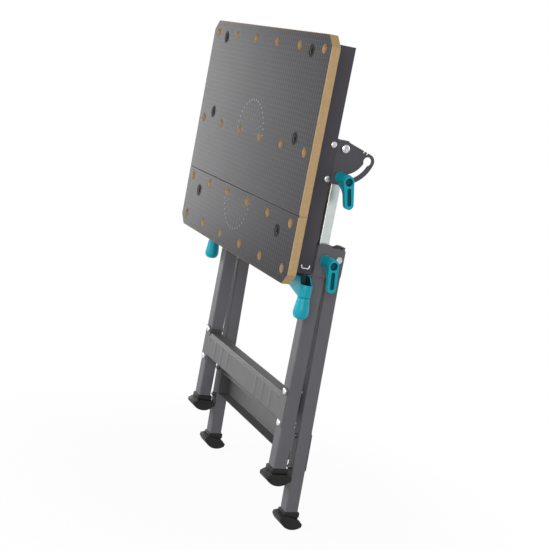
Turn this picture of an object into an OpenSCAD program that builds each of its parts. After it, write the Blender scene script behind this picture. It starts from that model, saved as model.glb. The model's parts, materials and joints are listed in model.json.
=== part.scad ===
// Folding workbench: a tilting two-jaw worktop on a height-adjustable trestle, shown folded.
// X runs left to right, Y from the worktop's face to the back, Z up along the folded legs.
// Each piece is written in the worktop's own frame (its face at Y 0, its front edge at Z 0),
// and stand() sets the whole bench on the floor, with the origin under its middle.

/* [Worktop] */
// Width of the worktop, left to right
top_w = 650; // [600:1:760]
// Thickness of the two jaw boards
top_t = 18; // [16:0.5:22]
// Depth of the front jaw, from the front edge to the seam
front_jaw_d = 136; // [130:0.5:144]
// Depth of the rear jaw, from the seam to the back edge
rear_jaw_d = 343.5; // [335:0.5:380]
// Seam between the closed jaws
jaw_seam = 0.5; // [0.3:0.1:2]
// Cut across each outer corner of the worktop
corner_cut = 22; // [8:1:28]
// Diameter of a dog hole
dog_d = 20; // [12:0.5:22]
// Distance of the outer columns of dog holes from the worktop's ends
dog_end = 32.5; // [26:0.5:40]
// Number of columns of dog holes
dog_columns = 6; // [2:2:6]
// Distance of the outer rows of dog holes from the worktop's edges
dog_edge = 28; // [22:1:34]
// Distance of the front jaw's inner row from the seam
dog_seam_front = 19; // [16:1:28]
// Distance of the rear jaw's inner row from the seam
dog_seam_rear = 118.5; // [100:0.5:125]

/* [Rails] */
// Distance of a rail's middle plane from the worktop's end
side_inset = 88; // [86:0.5:90]
// Width of a rail across its two flanges
rail_w = 40; // [39:0.5:41]
// Depth of a rail, from the worktop to the open back
rail_d = 64; // [62:0.5:66]
// Wall of a rail
rail_wall = 2; // [1.5:0.1:2.2]
// Distance of a rail's back end from the worktop's rear edge
rail_end = 14; // [4:0.5:24]
// Distance of a rail's front end from the worktop's front edge
rail_setback = 16; // [14:0.5:20]

/* [Jaw drive] */
// Diameter of a clamping spindle
spindle_d = 12; // [10:0.5:13]
// Distance of the spindles below the worktop's underside
spindle_drop = 46; // [46:0.5:48]
// Travel of the rear jaw
jaw_travel = 108; // [60:1:110]
// Width of a jaw carrier inside its rail
carrier_w = 32; // [28:0.5:33]
// Distance of a jaw carrier's end from the worktop's rear edge
carrier_end = 27.5; // [18:0.5:34]
// Length of a spindle nut along its thread
nut_len = 24; // [18:1:28]
// Length of the bearing block in a rail's front end
bearing_len = 28; // [26:1:32]

/* [Cranks] */
// Distance between the spindle and the grip of a crank
crank_r = 45; // [43:0.5:46]
// Radius of the crank arm's round end
crank_end_r = 13.5; // [13:0.1:15]
// Width of the crank arm
crank_arm_w = 27; // [24:0.5:28]
// Wall of the hollow crank arm
crank_wall = 2.8; // [2:0.1:4]
// Length of a crank grip
grip_len = 45; // [38:0.5:54]
// Largest radius of a crank grip
grip_r = 16; // [14:0.1:17.5]
// Turn of the left crank towards the back
crank_left_turn = 15; // [0:1:15]

/* [Tilt mechanism] */
// Distance of the tilt pivot below the worktop's underside
pivot_drop = 84.5; // [83:0.5:87]
// Distance of the tilt pivot from the worktop's front edge
pivot_depth = 272; // [266:1:280]
// Diameter of the pivot and clamp bolts
bolt_d = 10; // [8:0.5:10]
// Thickness of the quadrants and the leg plates
plate_t = 3; // [2.5:0.1:3.5]
// Radius of the quadrant's clamping slot
slot_r = 57; // [54:0.5:60]
// Diameter of the hole at the end of the slot
slot_end_d = 18; // [14:0.5:19]
// Tilt of the worktop from folded to level
tilt_range = 71.4; // [60:0.2:74]
// Steel outside the quadrant's slot
quadrant_rim = 9.6; // [8:0.1:11]
// Radius of the quadrant around the pivot
quadrant_boss_r = 15; // [14:0.5:17]

/* [Clamp levers] */
// Radius of a lever's hub
lever_hub_r = 11; // [10.5:0.5:11.5]
// Distance of a lever's outer face from its base
lever_reach = 43; // [38:0.5:48]
// Length of a lever's arm from the hub's middle
lever_len = 57; // [50:1:62]
// Width of a lever's arm
lever_arm_w = 19; // [16:0.5:20]
// Thickness of a lever's arm
lever_arm_t = 10; // [8:0.5:11]
// Backward lean of the tilt levers
tilt_lever_lean = 12.5; // [0:0.5:20]
// Backward lean of the height levers
height_lever_lean = 6; // [0:0.5:20]
// Distance of the height screws below the top of the front legs
height_screw_drop = 28.5; // [26:0.5:31]
// Offset of the height screws behind the middle of the front legs
height_screw_back = 4.5; // [2:0.5:5]

/* [Trestle] */
// Section of a leg at the front
leg_w = 30; // [29.5:0.1:30.5]
// Wall of the leg tubes
leg_wall = 2; // [1.5:0.1:2]
// Length of a front leg
front_leg_len = 489; // [470:1:520]
// Distance of the front legs' tops below the tilt pivot
leg_top_drop = 196; // [192:1:200]
// Section of a height tube
inner_w = 22; // [20:0.5:22.5]
// Distance of the guide shoes above the front tread's bolts, with the height tubes in
shoe_clear = 21.5; // [4:0.5:40]
// Section of a rear leg
rear_leg_w = 29; // [28:0.1:29]
// Distance of the fold pivots behind the middle of the front legs
fold_back = 33.5; // [33:0.5:35]
// Distance of the fold pivots below the tops of the front legs
fold_drop = 25; // [24:0.5:27]
// Reach of the rear legs below the ends of the front legs
rear_leg_reach = 94.3; // [88:0.1:110]
// Angle between the folded front and rear legs
rear_lean = 1.4; // [1.2:0.1:3]
// Opening of the rear legs from folded to standing
fold_range = 53.6; // [40:0.2:54]
// Distance of the front tread's middle above the ends of the front legs
front_tread_rise = 146; // [139:1:153]
// Distance of the rear tread's middle above the ends of the rear legs
rear_tread_rise = 147.5; // [138:0.5:157]
// Height of a tread's panel
tread_h = 55; // [50:1:58]
// Depth of a tread's folded edges
tread_fold = 27; // [20:1:28]
// Sheet of a tread
tread_t = 1.5; // [1.2:0.1:1.8]
// Distance between the two bolts at each end of a tread
tread_bolt_pitch = 67; // [62:1:68]

/* [Feet] */
// Width of a foot's sole, front to back
sole_w = 54; // [50:1:58]
// Length of a foot's sole, left to right
sole_l = 42; // [40:1:46]
// Height of a foot's collar around the leg
collar_h = 18; // [15:0.5:22]
// Wall of a foot's collar
collar_wall = 3; // [2.5:0.1:3.5]
// Distance of the sole's lowest line below the end of the leg
sole_drop = 18; // [15:0.5:21]
// Rise of the round sole from its lowest line to its edges
sole_rise = 13; // [10:0.5:13.5]
// Forward turn of the rear feet
rear_foot_turn = 18; // [0:1:22]

/* [Hidden] */
$fn = 48;

// Colours of the finishes
steel_dark = "#504d55";
steel_grey = "#77767a";
board_dark = "#4b4a4c";
teal = "#1e92a2";
zinc = "#d5d8d8";
plastic_black = "#2b2b2a";

// Clearances: running (a pin in its hole), sliding (a tube in its guide), axial (between faces),
// and one overrun for every cut
run_gap = 0.08;
slide_gap = 0.3;
face_gap = 0.5;
overrun = 5;

// Worktop screws
screw_head_d = 13;
screw_d = 6;
screw_inset = 0.5;
screw_nut_af = 10;
screw_nut_h = 5;
front_screw_z = 92;
rear_screw_low_z = 275;
rear_screw_inset = 35;
slot_play = 0.4;
board_chamfer = 1;

// Places in the worktop's frame
side_x = top_w / 2 - side_inset;
dog_pitch = (top_w - 2 * dog_end) / (dog_columns - 1);
rail_y1 = top_t + rail_d;
rail_z0 = rail_setback;
web_y1 = top_t + rail_wall;
seam_z = front_jaw_d;
rear_jaw_z0 = seam_z + jaw_seam;
top_z1 = rear_jaw_z0 + rear_jaw_d;
rail_z1 = top_z1 - rail_end;
rail_len = rail_z1 - rail_z0;
rear_screw_z = [rear_screw_low_z, top_z1 - rear_screw_inset];
pivot_y = top_t + pivot_drop;
pivot_z = pivot_depth;
leg_top_z = pivot_z - leg_top_drop;
front_leg_z0 = leg_top_z - front_leg_len;
fold_y = pivot_y + fold_back;
fold_z = leg_top_z - fold_drop;
spindle_y = top_t + spindle_drop;
plate_x1 = side_x + rail_w / 2 - rail_wall;
plate_x0 = plate_x1 - plate_t;
inner_plate_x0 = side_x - rail_w / 2 + rail_wall;
inner_plate_x1 = inner_plate_x0 + plate_t;
leg_plate_x0 = side_x + leg_w / 2;
leg_plate_x1 = leg_plate_x0 + plate_t;
tube_x0 = side_x - inner_w / 2;
tube_x1 = side_x + inner_w / 2;
tilt_bolt_z = pivot_z - slot_r;
height_screw_y = pivot_y + height_screw_back;
height_screw_z = leg_top_z - height_screw_drop;

// Feet: radius of the round sole, and the place of its centre above the end of the leg
sole_edge = 6;
sole_r = ((sole_w / 2) * (sole_w / 2) + sole_rise * sole_rise) / (2 * sole_rise);
sole_centre = sole_r - sole_drop;
sole_tip_z = sole_rise - sole_drop;

// Lengths and places on the legs that follow from the front legs
rear_leg_len = (front_leg_len - fold_drop + rear_leg_reach) / cos(rear_lean);
front_tread_z = front_leg_z0 + front_tread_rise;

// Floor line and depth of the folded bench, which the turned rear feet decide
rear_foot_y = fold_y + rear_leg_len * sin(rear_lean);
rear_foot_z = fold_z - rear_leg_len * cos(rear_lean);
foot_turn = rear_lean - rear_foot_turn;
floor_z = rear_foot_z + sole_centre * cos(foot_turn) - sole_r;
heel_y = rear_foot_y + sole_w / 2 * cos(foot_turn) - sole_tip_z * sin(foot_turn);
heel_top_y = heel_y - sole_edge * sin(foot_turn);
slot_w = bolt_d + 2 * slot_play;
quadrant_r = slot_r + slot_w / 2 + quadrant_rim;
depth = max(heel_y, heel_top_y, pivot_y + quadrant_r);

// Small sizes of the rails and the jaw drive
rail_fold_r = 3.5;
carrier_wall = 2.5;
carrier_d = 24;
carrier_start = 16;
nut_start = 18;
nut_w = 25;
nut_back = 4;
collar_t = 2.6;
collar_d = 20;
spindle_tail = 6;
bearing_lip = 1.6;
bearing_ring = 5;
bearing_floor = 6;
bearing_wall = 3;
bearing_inset = 2;
clip_d = 3;
clip_w = 17;
clip_drop = 6.5;
clip_inset = 10.5;
clip_back = 2;
clip_reach = 12;

// Small sizes of the cranks
crank_top = 12;
crank_flat = 33;
crank_hub_h = 14.5;
crank_drop = 25;
crank_step = 1;
crank_clear = 1.5;
crank_floor = 11;
crank_boss_r = 9.5;
crank_hub_floor = 4;
pin_d = 8;
pin_head_d = 13;
pin_head_h = 3;
grip_floor = 8;
grip_shares = [[0.8, 0], [0.85, 0.14], [0.95, 0.42], [1, 0.69], [0.96, 0.83], [0.82, 0.94], [0.55, 0.99]];

// Small sizes of the tilt mechanism
head_h = 5.5;
head_d = 18;
hex_af = 16;
hex_h = 6;
washer_t = 1.5;
washer_d = 21;
spacer_d = 17;
quadrant_inset = 16;
plate_screw_d = 6;
plate_screw_head_d = 13;
plate_screw_head_h = 3;
plate_screw_inset = 6.5;
plate_screw_rise = 4.5;
plate_screw_fall = 63.5;
ear_fall = 34;
ear_screw_fall = 24;
notch_w = 3.4;
notch_deep = 4;
notch_shares = [0.72, 0.86];
tube_head = 13;
tube_wall = 1.5;
tube_corner_r = 2;
plug_t = 2;
plug_depth = 6;
crossbar_d = 21;
crossbar_wall = 2;
crossbar_seat = 16;
bolt_bite = 12;

// Small sizes of the levers
lever_gap = 0.4;
lever_recess_d = 16.5;
lever_recess_deep = 12;
lever_slot_w = 8;
lever_slot_len = 36;
lever_slot_deep = 6;
lever_slot_start = 14;
lever_web_t = 15;
lever_web = 13;
lever_skirt_t = 3;
lever_skirt_d = 23;
lever_bore = 26;
stud_in = 24;
lever_x0 = plate_x1 + slide_gap + washer_t + lever_gap;

// Small sizes of the trestle
leg_corner_r = 3;
bush_lip = 1.5;
bush_len = 40;
shoe_len = 14;
leg_plate_h = 67;
leg_plate_r = 6;
leg_plate_rise = 3;
leg_plate_back = 13.5;
leg_plate_step = 6.5;
leg_plate_flat = 23.5;
leg_plate_slope = 11;
fold_bolt_d = 8;
fold_hex_af = 13;
fold_hex_h = 5.5;
cap_reach = 25;
cap_face = 3;
cap_plug = 3;
stop_gap = 1.5;
tread_corner_r = 6;
tread_end_w = 27;
tread_end_h = 83;
tread_tab = 10;
bead_w = 6;
bead_h = 38;
bead_proud = 1.2;
bead_shares = [0.371, 0.54, 0.726];
bead_x = side_x * bead_shares;
groove_w = 3;
groove_deep = 0.6;
groove_inset = 9;
tread_bolt_d = 6;
tread_head_d = 14;
tread_head_h = 3.4;
tread_nut_af = 10;
tread_nut_h = 5;
tread_bolt_end = 2;
shoe_z0 = front_tread_z + tread_bolt_pitch / 2 + tread_bolt_d / 2 + shoe_clear;
inner_len = pivot_z + tube_head - shoe_z0 - shoe_len;

// Bench on the floor, its origin under the middle of its box
module stand() {
    translate([0, -depth / 2, -floor_z]) children();
}

// Right side (1) or left side (-1) of the middle plane
module on_side(s) {
    if (s > 0) children();
    else mirror([1, 0, 0]) children();
}

module both_sides() {
    for (s = [1, -1]) on_side(s) children();
}

// Rectangle with round corners, about its middle
module rounded_rect(w, h, r) {
    square([w, h - 2 * r], center = true);
    square([w - 2 * r, h], center = true);
    for (x = [-1, 1], y = [-1, 1])
        translate([x * (w / 2 - r), y * (h / 2 - r)]) circle(r = r);
}

// Filled U with its base at 0 and its open side at d, the two base corners round
module u_shape(w, d, r) {
    translate([-w / 2, r]) square([w, d - r]);
    translate([r - w / 2, 0]) square([w - 2 * r, 2 * r]);
    for (x = [-1, 1]) translate([x * (w / 2 - r), r]) circle(r = r);
}

// Shape drawn in Y and Z, thick in X from x0 to x0 + t
module side_plate(x0, t) {
    translate([x0, 0, 0]) rotate([90, 0, 90]) linear_extrude(t) children();
}

// Shape drawn in X and Z, thick in Y and centred on Y 0
module cross_plate(t) {
    translate([0, t / 2, 0]) rotate([90, 0, 0]) linear_extrude(t) children();
}

// Round and hexagonal bars along X and Y
module bar_x(x0, x1, d) {
    translate([x0, 0, 0]) rotate([0, 90, 0]) cylinder(d = d, h = x1 - x0);
}

module bar_y(y0, y1, d) {
    translate([0, y0, 0]) rotate([-90, 0, 0]) cylinder(d = d, h = y1 - y0);
}

module hex_x(x0, x1, af) {
    translate([x0, 0, 0]) rotate([0, 90, 0]) cylinder(d = af / cos(30), h = x1 - x0, $fn = 6);
}

module hex_y(y0, y1, af) {
    translate([0, y0, 0]) rotate([-90, 0, 0]) cylinder(d = af / cos(30), h = y1 - y0, $fn = 6);
}

// Square tube about the Z axis from z0 up
module box_tube(w, wall, r, z0, h) {
    translate([0, 0, z0]) linear_extrude(h) difference() {
        rounded_rect(w, w, r);
        rounded_rect(w - 2 * wall, w - 2 * wall, r - wall / 2);
    }
}

// Wedge of a large circle between two angles less than half a turn apart
module fan(r, a0, a1) {
    am = (a0 + a1) / 2;
    polygon([[0, 0], r * [cos(a0), sin(a0)], r * [cos(am), sin(am)], r * [cos(a1), sin(a1)]]);
}

// Board between two heights, its cut corners at the bottom or at the top
module board(z0, z1, low, high) {
    x1 = top_w / 2;
    c = board_chamfer;
    intersection() {
        translate([0, top_t, 0]) rotate([90, 0, 0]) linear_extrude(top_t) polygon([
            [x1, z0 + low], [x1, z1 - high], [x1 - high, z1], [high - x1, z1],
            [-x1, z1 - high], [-x1, z0 + low], [low - x1, z0], [x1 - low, z0]
        ]);
        side_plate(-x1, top_w)
            polygon([[0, z0 + c], [c, z0], [top_t, z0], [top_t, z1], [c, z1], [0, z1 - c]]);
        translate([0, 0, z0]) linear_extrude(z1 - z0)
            polygon([[c - x1, 0], [x1 - c, 0], [x1, c], [x1, top_t], [-x1, top_t], [-x1, c]]);
    }
}

module dog_holes(rows) {
    for (i = [0 : dog_columns - 1], z = rows)
        translate([(i - (dog_columns - 1) / 2) * dog_pitch, 0, z])
            bar_y(-overrun, top_t + overrun, dog_d);
}

// Countersunk screw with its shank up to y1, and the hole that it fills
module countersunk(y0, y1) {
    sink = (screw_head_d - screw_d) / 2;
    rotate([-90, 0, 0]) rotate_extrude() polygon([
        [0, y0], [screw_head_d / 2, y0], [screw_head_d / 2, screw_inset],
        [screw_d / 2, screw_inset + sink], [screw_d / 2, y1], [0, y1]
    ]);
}

module front_jaw() {
    color(board_dark) stand() difference() {
        board(0, seam_z, corner_cut, 0);
        dog_holes([dog_edge, seam_z - dog_seam_front]);
        both_sides() translate([side_x, 0, front_screw_z])
            countersunk(-overrun, top_t + overrun);
    }
}

module rear_jaw() {
    color(board_dark) stand() difference() {
        board(rear_jaw_z0, top_z1, 0, corner_cut);
        dog_holes([rear_jaw_z0 + dog_seam_rear, top_z1 - dog_edge]);
        both_sides() for (z = rear_screw_z) translate([side_x, 0, z])
            countersunk(-overrun, top_t + overrun);
    }
}

// Screw through a board and the steel behind it, with its nut
module jaw_screw(steel_y1) {
    countersunk(screw_inset - screw_inset / 2, steel_y1 + screw_nut_h);
    hex_y(steel_y1, steel_y1 + screw_nut_h, screw_nut_af);
}

module front_jaw_screws() {
    color(zinc) stand() both_sides()
        translate([side_x, 0, front_screw_z]) jaw_screw(web_y1);
}

module rear_jaw_screws() {
    color(zinc) stand() both_sides() for (z = rear_screw_z)
        translate([side_x, 0, z]) jaw_screw(web_y1 + slide_gap + carrier_wall);
}

// Steel channel behind the boards, open to the back
module rail() {
    slot = screw_d + 2 * slot_play;
    difference() {
        translate([side_x, top_t, rail_z0]) linear_extrude(rail_len) difference() {
            u_shape(rail_w, rail_d, rail_fold_r);
            translate([0, rail_wall])
                u_shape(rail_w - 2 * rail_wall, rail_d, rail_fold_r - rail_wall);
        }
        translate([side_x, 0, front_screw_z]) bar_y(0, web_y1 + overrun / 2, screw_d);
        for (z = rear_screw_z) translate([side_x, 0, 0]) {
            end = z == rear_screw_z[0] ? z + jaw_travel : rail_z1 + overrun;
            translate([0, 0, z]) bar_y(0, web_y1 + overrun / 2, slot);
            translate([0, 0, end]) bar_y(0, web_y1 + overrun / 2, slot);
            translate([-slot / 2, 0, z]) cube([slot, web_y1 + overrun / 2, end - z]);
        }
        plate_screw_places() bar_x(side_x, plate_x1 + overrun, plate_screw_d);
        ear_screw_places() bar_x(inner_plate_x0 - overrun, side_x, plate_screw_d);
        clip_places() bar_x(plate_x1 - overrun, plate_x1 + overrun, clip_d);
    }
}

module rail_left() {
    color(steel_dark) stand() on_side(-1) rail();
}

module rail_right() {
    color(steel_dark) stand() on_side(1) rail();
}

// Moulded block that closes the front end of a rail and guides the spindle
module spindle_bearings() {
    z1 = rail_z0 + bearing_len;
    w = rail_w - 2 * rail_wall;
    ring_y0 = spindle_y - spindle_d / 2 - bearing_ring;
    color(plastic_black) stand() both_sides() difference() {
        union() {
            translate([side_x, web_y1, rail_z0]) linear_extrude(bearing_len)
                u_shape(w, rail_d - rail_wall - bearing_inset, rail_fold_r - rail_wall);
            translate([side_x, top_t, rail_z0 - bearing_lip]) linear_extrude(bearing_lip)
                u_shape(rail_w, rail_d, rail_fold_r);
        }
        translate([side_x, spindle_y, rail_z0 - overrun])
            cylinder(d = spindle_d + 2 * run_gap, h = bearing_len + 2 * overrun);
        translate([side_x - w / 2 + bearing_wall, web_y1 + bearing_wall, rail_z0 + bearing_floor])
            cube([w - 2 * bearing_wall, ring_y0 - web_y1 - bearing_wall, bearing_len]);
        clip_places() bar_x(plate_x1 - clip_reach, plate_x1 + overrun, clip_d);
    }
}

// The two places where a clip enters its rail
module clip_places() {
    for (y = [-1, 1])
        translate([0, spindle_y + clip_back + y * clip_w / 2, rail_z0 + bearing_len - clip_inset])
            children();
}

module bearing_clips() {
    x = plate_x1 + rail_wall + clip_d / 2;
    y0 = spindle_y + clip_back;
    z1 = rail_z0 + bearing_len - clip_inset;
    color(zinc) stand() both_sides() {
        clip_places() {
            bar_x(plate_x1 - clip_reach, x, clip_d);
            translate([x, 0, 0]) sphere(d = clip_d);
        }
        for (y = [-1, 1]) translate([x, y0 + y * clip_w / 2, z1 - clip_drop]) {
            cylinder(d = clip_d, h = clip_drop);
            sphere(d = clip_d);
        }
        translate([x, 0, z1 - clip_drop])
            bar_y(y0 - clip_w / 2, y0 + clip_w / 2, clip_d);
    }
}

// Spindle with its thrust collar behind the bearing block
nut_z0 = rear_jaw_z0 + carrier_start + nut_start;
spindle_z0 = crank_hub_floor - crank_hub_h + face_gap;
spindle_z1 = nut_z0 + nut_len + jaw_travel + spindle_tail;

module spindle() {
    translate([side_x, spindle_y, 0]) {
        translate([0, 0, spindle_z0]) cylinder(d = spindle_d, h = spindle_z1 - spindle_z0);
        translate([0, 0, rail_z0 + bearing_len + slide_gap]) cylinder(d = collar_d, h = collar_t);
    }
}

module spindle_left() {
    color(zinc) stand() on_side(-1) spindle();
}

module spindle_right() {
    color(zinc) stand() on_side(1) spindle();
}

// Channel that slides in a rail and carries the rear jaw
module carrier() {
    z0 = rear_jaw_z0 + carrier_start;
    carrier_len = top_z1 - carrier_end - z0;
    r = rail_fold_r;
    difference() {
        translate([side_x, web_y1 + slide_gap, z0]) linear_extrude(carrier_len) difference() {
            u_shape(carrier_w, carrier_d, r);
            translate([0, carrier_wall])
                u_shape(carrier_w - 2 * carrier_wall, carrier_d, r - carrier_wall);
        }
        for (z = rear_screw_z) translate([side_x, 0, z]) bar_y(0, web_y1 + carrier_d / 2, screw_d);
    }
}

module carrier_left() {
    color(steel_grey) stand() on_side(-1) carrier();
}

module carrier_right() {
    color(steel_grey) stand() on_side(1) carrier();
}

// Nut on a carrier: a saddle on the web and a threaded block around the spindle
module spindle_nuts() {
    y0 = web_y1 + slide_gap + carrier_wall;
    y1 = spindle_y + spindle_d / 2 + nut_back;
    w = min(nut_w, carrier_w - 2 * carrier_wall);
    color(zinc) stand() both_sides() difference() {
        translate([side_x - w / 2, y0, nut_z0]) cube([w, y1 - y0, nut_len]);
        translate([side_x, spindle_y, nut_z0 - overrun])
            cylinder(d = spindle_d + 2 * run_gap, h = nut_len + 2 * overrun);
    }
}

// Moulded crank about the spindle, with its arm along +X: a pocket with a round end opens at the
// arm's top, which slopes down before it reaches under the front jaw, and the grip hangs below
module crank() {
    reach = spindle_drop - crank_clear;
    half = crank_arm_w / 2;
    pocket_r = half - crank_wall;
    pocket_x = half + crank_wall;
    difference() {
        union() {
            translate([0, 0, -crank_hub_h]) cylinder(r = half, h = crank_hub_h + crank_top);
            cylinder(r = crank_boss_r, h = rail_z0 - bearing_lip - face_gap);
            cross_plate(crank_arm_w) polygon([
                [0, -crank_hub_h], [crank_r, -crank_drop], [crank_r, -crank_step],
                [reach, -crank_step], [crank_flat, crank_top], [0, crank_top]
            ]);
            translate([crank_r, 0, -crank_drop])
                cylinder(r = crank_end_r, h = crank_drop - crank_step);
        }
        translate([0, 0, -crank_floor]) {
            translate([pocket_x, -pocket_r, 0])
                cube([crank_r - pocket_x, 2 * pocket_r, crank_floor + crank_top + overrun]);
            translate([crank_r, 0, 0])
                cylinder(r = min(pocket_r, crank_end_r - crank_wall), h = crank_floor + overrun);
        }
        translate([0, 0, spindle_z0 - face_gap])
            cylinder(d = spindle_d + 2 * run_gap, h = crank_top + crank_hub_h + overrun);
        translate([crank_r, 0, -crank_drop - overrun])
            cylinder(d = pin_d, h = crank_drop + overrun);
    }
}

// Place of a crank under its rail
module at_crank(s) {
    on_side(s) translate([side_x, spindle_y, 0])
        rotate([0, 0, s < 0 ? crank_left_turn : 0]) children();
}

module crank_left() {
    color(teal) stand() at_crank(-1) crank();
}

module crank_right() {
    color(teal) stand() at_crank(1) crank();
}

// Axle of a grip, its head on the floor of the arm's pocket
grip_z0 = crank_drop + face_gap;

module crank_pin() {
    tip_z = grip_z0 + grip_len - grip_floor - face_gap;
    translate([crank_r, 0, 0]) {
        translate([0, 0, -crank_floor]) cylinder(d = pin_head_d, h = pin_head_h);
        translate([0, 0, -tip_z]) cylinder(d = pin_d, h = tip_z - crank_floor + pin_head_h / 2);
    }
}

module crank_pin_left() {
    color(zinc) stand() at_crank(-1) crank_pin();
}

module crank_pin_right() {
    color(zinc) stand() at_crank(1) crank_pin();
}

// Turned grip, hollow for its axle
module crank_grip() {
    outline = [for (p = grip_shares) [p.x * grip_r, -grip_z0 - p.y * grip_len]];
    translate([crank_r, 0, 0]) difference() {
        rotate_extrude() polygon(concat([[0, -grip_z0]], outline, [[0, -grip_z0 - grip_len]]));
        translate([0, 0, grip_floor - grip_z0 - grip_len])
            cylinder(d = pin_d + 2 * run_gap, h = grip_len);
    }
}

module crank_grip_left() {
    color(teal) stand() at_crank(-1) crank_grip();
}

module crank_grip_right() {
    color(teal) stand() at_crank(1) crank_grip();
}

// Tilt mechanism: place of the pivot, and of the screws that hold the plates on the rails
module at_pivot() {
    translate([0, pivot_y, pivot_z]) children();
}

module plate_screw_places() {
    for (z = [plate_screw_rise, -plate_screw_fall])
        translate([0, rail_y1 - plate_screw_inset, pivot_z + z]) children();
}

module ear_screw_places() {
    for (z = [plate_screw_rise, -ear_screw_fall])
        translate([0, rail_y1 - plate_screw_inset, pivot_z + z]) children();
}

// Slotted quadrant drawn about the pivot: a boss, a sloping top edge and a round rim, with the
// clamping slot from straight below the pivot to the level position and its larger end hole
arc_step = 2.5;

module quadrant_shape() {
    a0 = -90;
    a1 = tilt_range - 90;
    end = slot_r * [cos(a1), sin(a1)];
    end_r = quadrant_r - slot_r;
    slope = atan2(end.y, end.x) + asin((quadrant_boss_r - end_r) / slot_r);
    up = [-sin(slope), cos(slope)];
    left = rail_y1 - quadrant_inset - pivot_y;
    far = 2 * quadrant_r;
    difference() {
        polygon(concat(
            [[left, -quadrant_r]],
            [for (a = [a0 : arc_step : a1]) quadrant_r * [cos(a), sin(a)]],
            [for (a = [a1 : arc_step : slope + 90]) end + end_r * [cos(a), sin(a)]],
            [for (a = [slope + 90 : arc_step : 90]) quadrant_boss_r * [cos(a), sin(a)]],
            [[left, quadrant_boss_r]]
        ));
        circle(d = bolt_d + 2 * run_gap);
        intersection() {
            difference() {
                circle(r = slot_r + slot_w / 2);
                circle(r = slot_r - slot_w / 2);
            }
            fan(far, a0, a1);
        }
        translate([0, -slot_r]) circle(d = slot_w);
        translate(end) circle(d = slot_end_d);
        for (s = notch_shares) translate(quadrant_boss_r * up * (1 - s) + (end + end_r * up) * s)
            rotate(slope) square([notch_w, 2 * notch_deep], center = true);
    }
}

module quadrant() {
    difference() {
        side_plate(plate_x0, plate_t) translate([pivot_y, pivot_z]) quadrant_shape();
        plate_screw_places() bar_x(plate_x0 - overrun, plate_x1 + overrun, plate_screw_d);
    }
}

module quadrant_left() {
    color(steel_dark) stand() on_side(-1) quadrant();
}

module quadrant_right() {
    color(steel_dark) stand() on_side(1) quadrant();
}

// Inner pivot plates, which turn on the crossbar
module pivot_plates() {
    left = rail_y1 - quadrant_inset - pivot_y;
    color(steel_dark) stand() both_sides() difference() {
        side_plate(inner_plate_x0, plate_t) translate([pivot_y, pivot_z]) difference() {
            union() {
                circle(r = quadrant_boss_r);
                translate([left, -quadrant_boss_r]) square([-left, 2 * quadrant_boss_r]);
                translate([left, -ear_fall])
                    square([rail_y1 - pivot_y - left, ear_fall]);
            }
            circle(d = crossbar_d + 2 * run_gap);
        }
        ear_screw_places() bar_x(inner_plate_x0 - overrun, inner_plate_x1 + overrun, plate_screw_d);
    }
}

// Screws through the rails' flanges into the plates: two outside and two inside
module quadrant_screws() {
    x1 = plate_x1 + rail_wall;
    x0 = inner_plate_x0 - rail_wall;
    color(zinc) stand() both_sides() {
        plate_screw_places() {
            bar_x(plate_x0, x1, plate_screw_d);
            bar_x(x1, x1 + plate_screw_head_h, plate_screw_head_d);
        }
        ear_screw_places() {
            bar_x(x0, inner_plate_x1, plate_screw_d);
            bar_x(x0 - plate_screw_head_h, x0, plate_screw_head_d);
        }
    }
}

// Square tube that slides in a front leg and carries the worktop
module height_tube() {
    z1 = pivot_z + tube_head;
    difference() {
        translate([side_x, pivot_y, 0])
            box_tube(inner_w, tube_wall, tube_corner_r, z1 - inner_len, inner_len);
        at_pivot() bar_x(tube_x0 - overrun, tube_x1 + overrun, bolt_d);
        translate([0, pivot_y, tilt_bolt_z]) bar_x(tube_x0 - overrun, tube_x1 + overrun, bolt_d);
    }
}

module height_tube_left() {
    color(zinc) stand() on_side(-1) height_tube();
}

module height_tube_right() {
    color(zinc) stand() on_side(1) height_tube();
}

// Plugs in the tops of the height tubes, and guide shoes on their lower ends
module height_tube_plugs() {
    bore = inner_w - 2 * tube_wall;
    z1 = pivot_z + tube_head;
    color(plastic_black) stand() both_sides() translate([side_x, pivot_y, 0]) {
        translate([0, 0, z1]) linear_extrude(plug_t) rounded_rect(inner_w, inner_w, tube_corner_r);
        translate([0, 0, z1 - plug_depth]) linear_extrude(plug_depth)
            rounded_rect(bore, bore, tube_corner_r - tube_wall / 2);
    }
}

module height_tube_shoes() {
    bore = inner_w - 2 * tube_wall;
    w = leg_w - 2 * leg_wall - 2 * slide_gap;
    z1 = pivot_z + tube_head - inner_len;
    color(plastic_black) stand() both_sides() translate([side_x, pivot_y, 0]) {
        translate([0, 0, z1 - shoe_len]) linear_extrude(shoe_len)
            rounded_rect(w, w, leg_corner_r - leg_wall / 2);
        translate([0, 0, z1]) linear_extrude(shoe_len)
            rounded_rect(bore, bore, tube_corner_r - tube_wall / 2);
    }
}

// Round tube on the tilt axis, with solid ends for the pivot bolts
module pivot_crossbar() {
    color(zinc) stand() difference() {
        at_pivot() bar_x(-tube_x0, tube_x0, crossbar_d);
        at_pivot() bar_x(crossbar_seat - tube_x0, tube_x0 - crossbar_seat,
                         crossbar_d - 2 * crossbar_wall);
        both_sides() at_pivot() bar_x(tube_x0 - bolt_bite, tube_x0 + overrun, bolt_d);
    }
}

module pivot_bolts() {
    x = plate_x1 + slide_gap;
    color(zinc) stand() both_sides() at_pivot() {
        bar_x(tube_x0 - bolt_bite, x, bolt_d);
        bar_x(x, x + head_h, head_d);
    }
}

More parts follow.
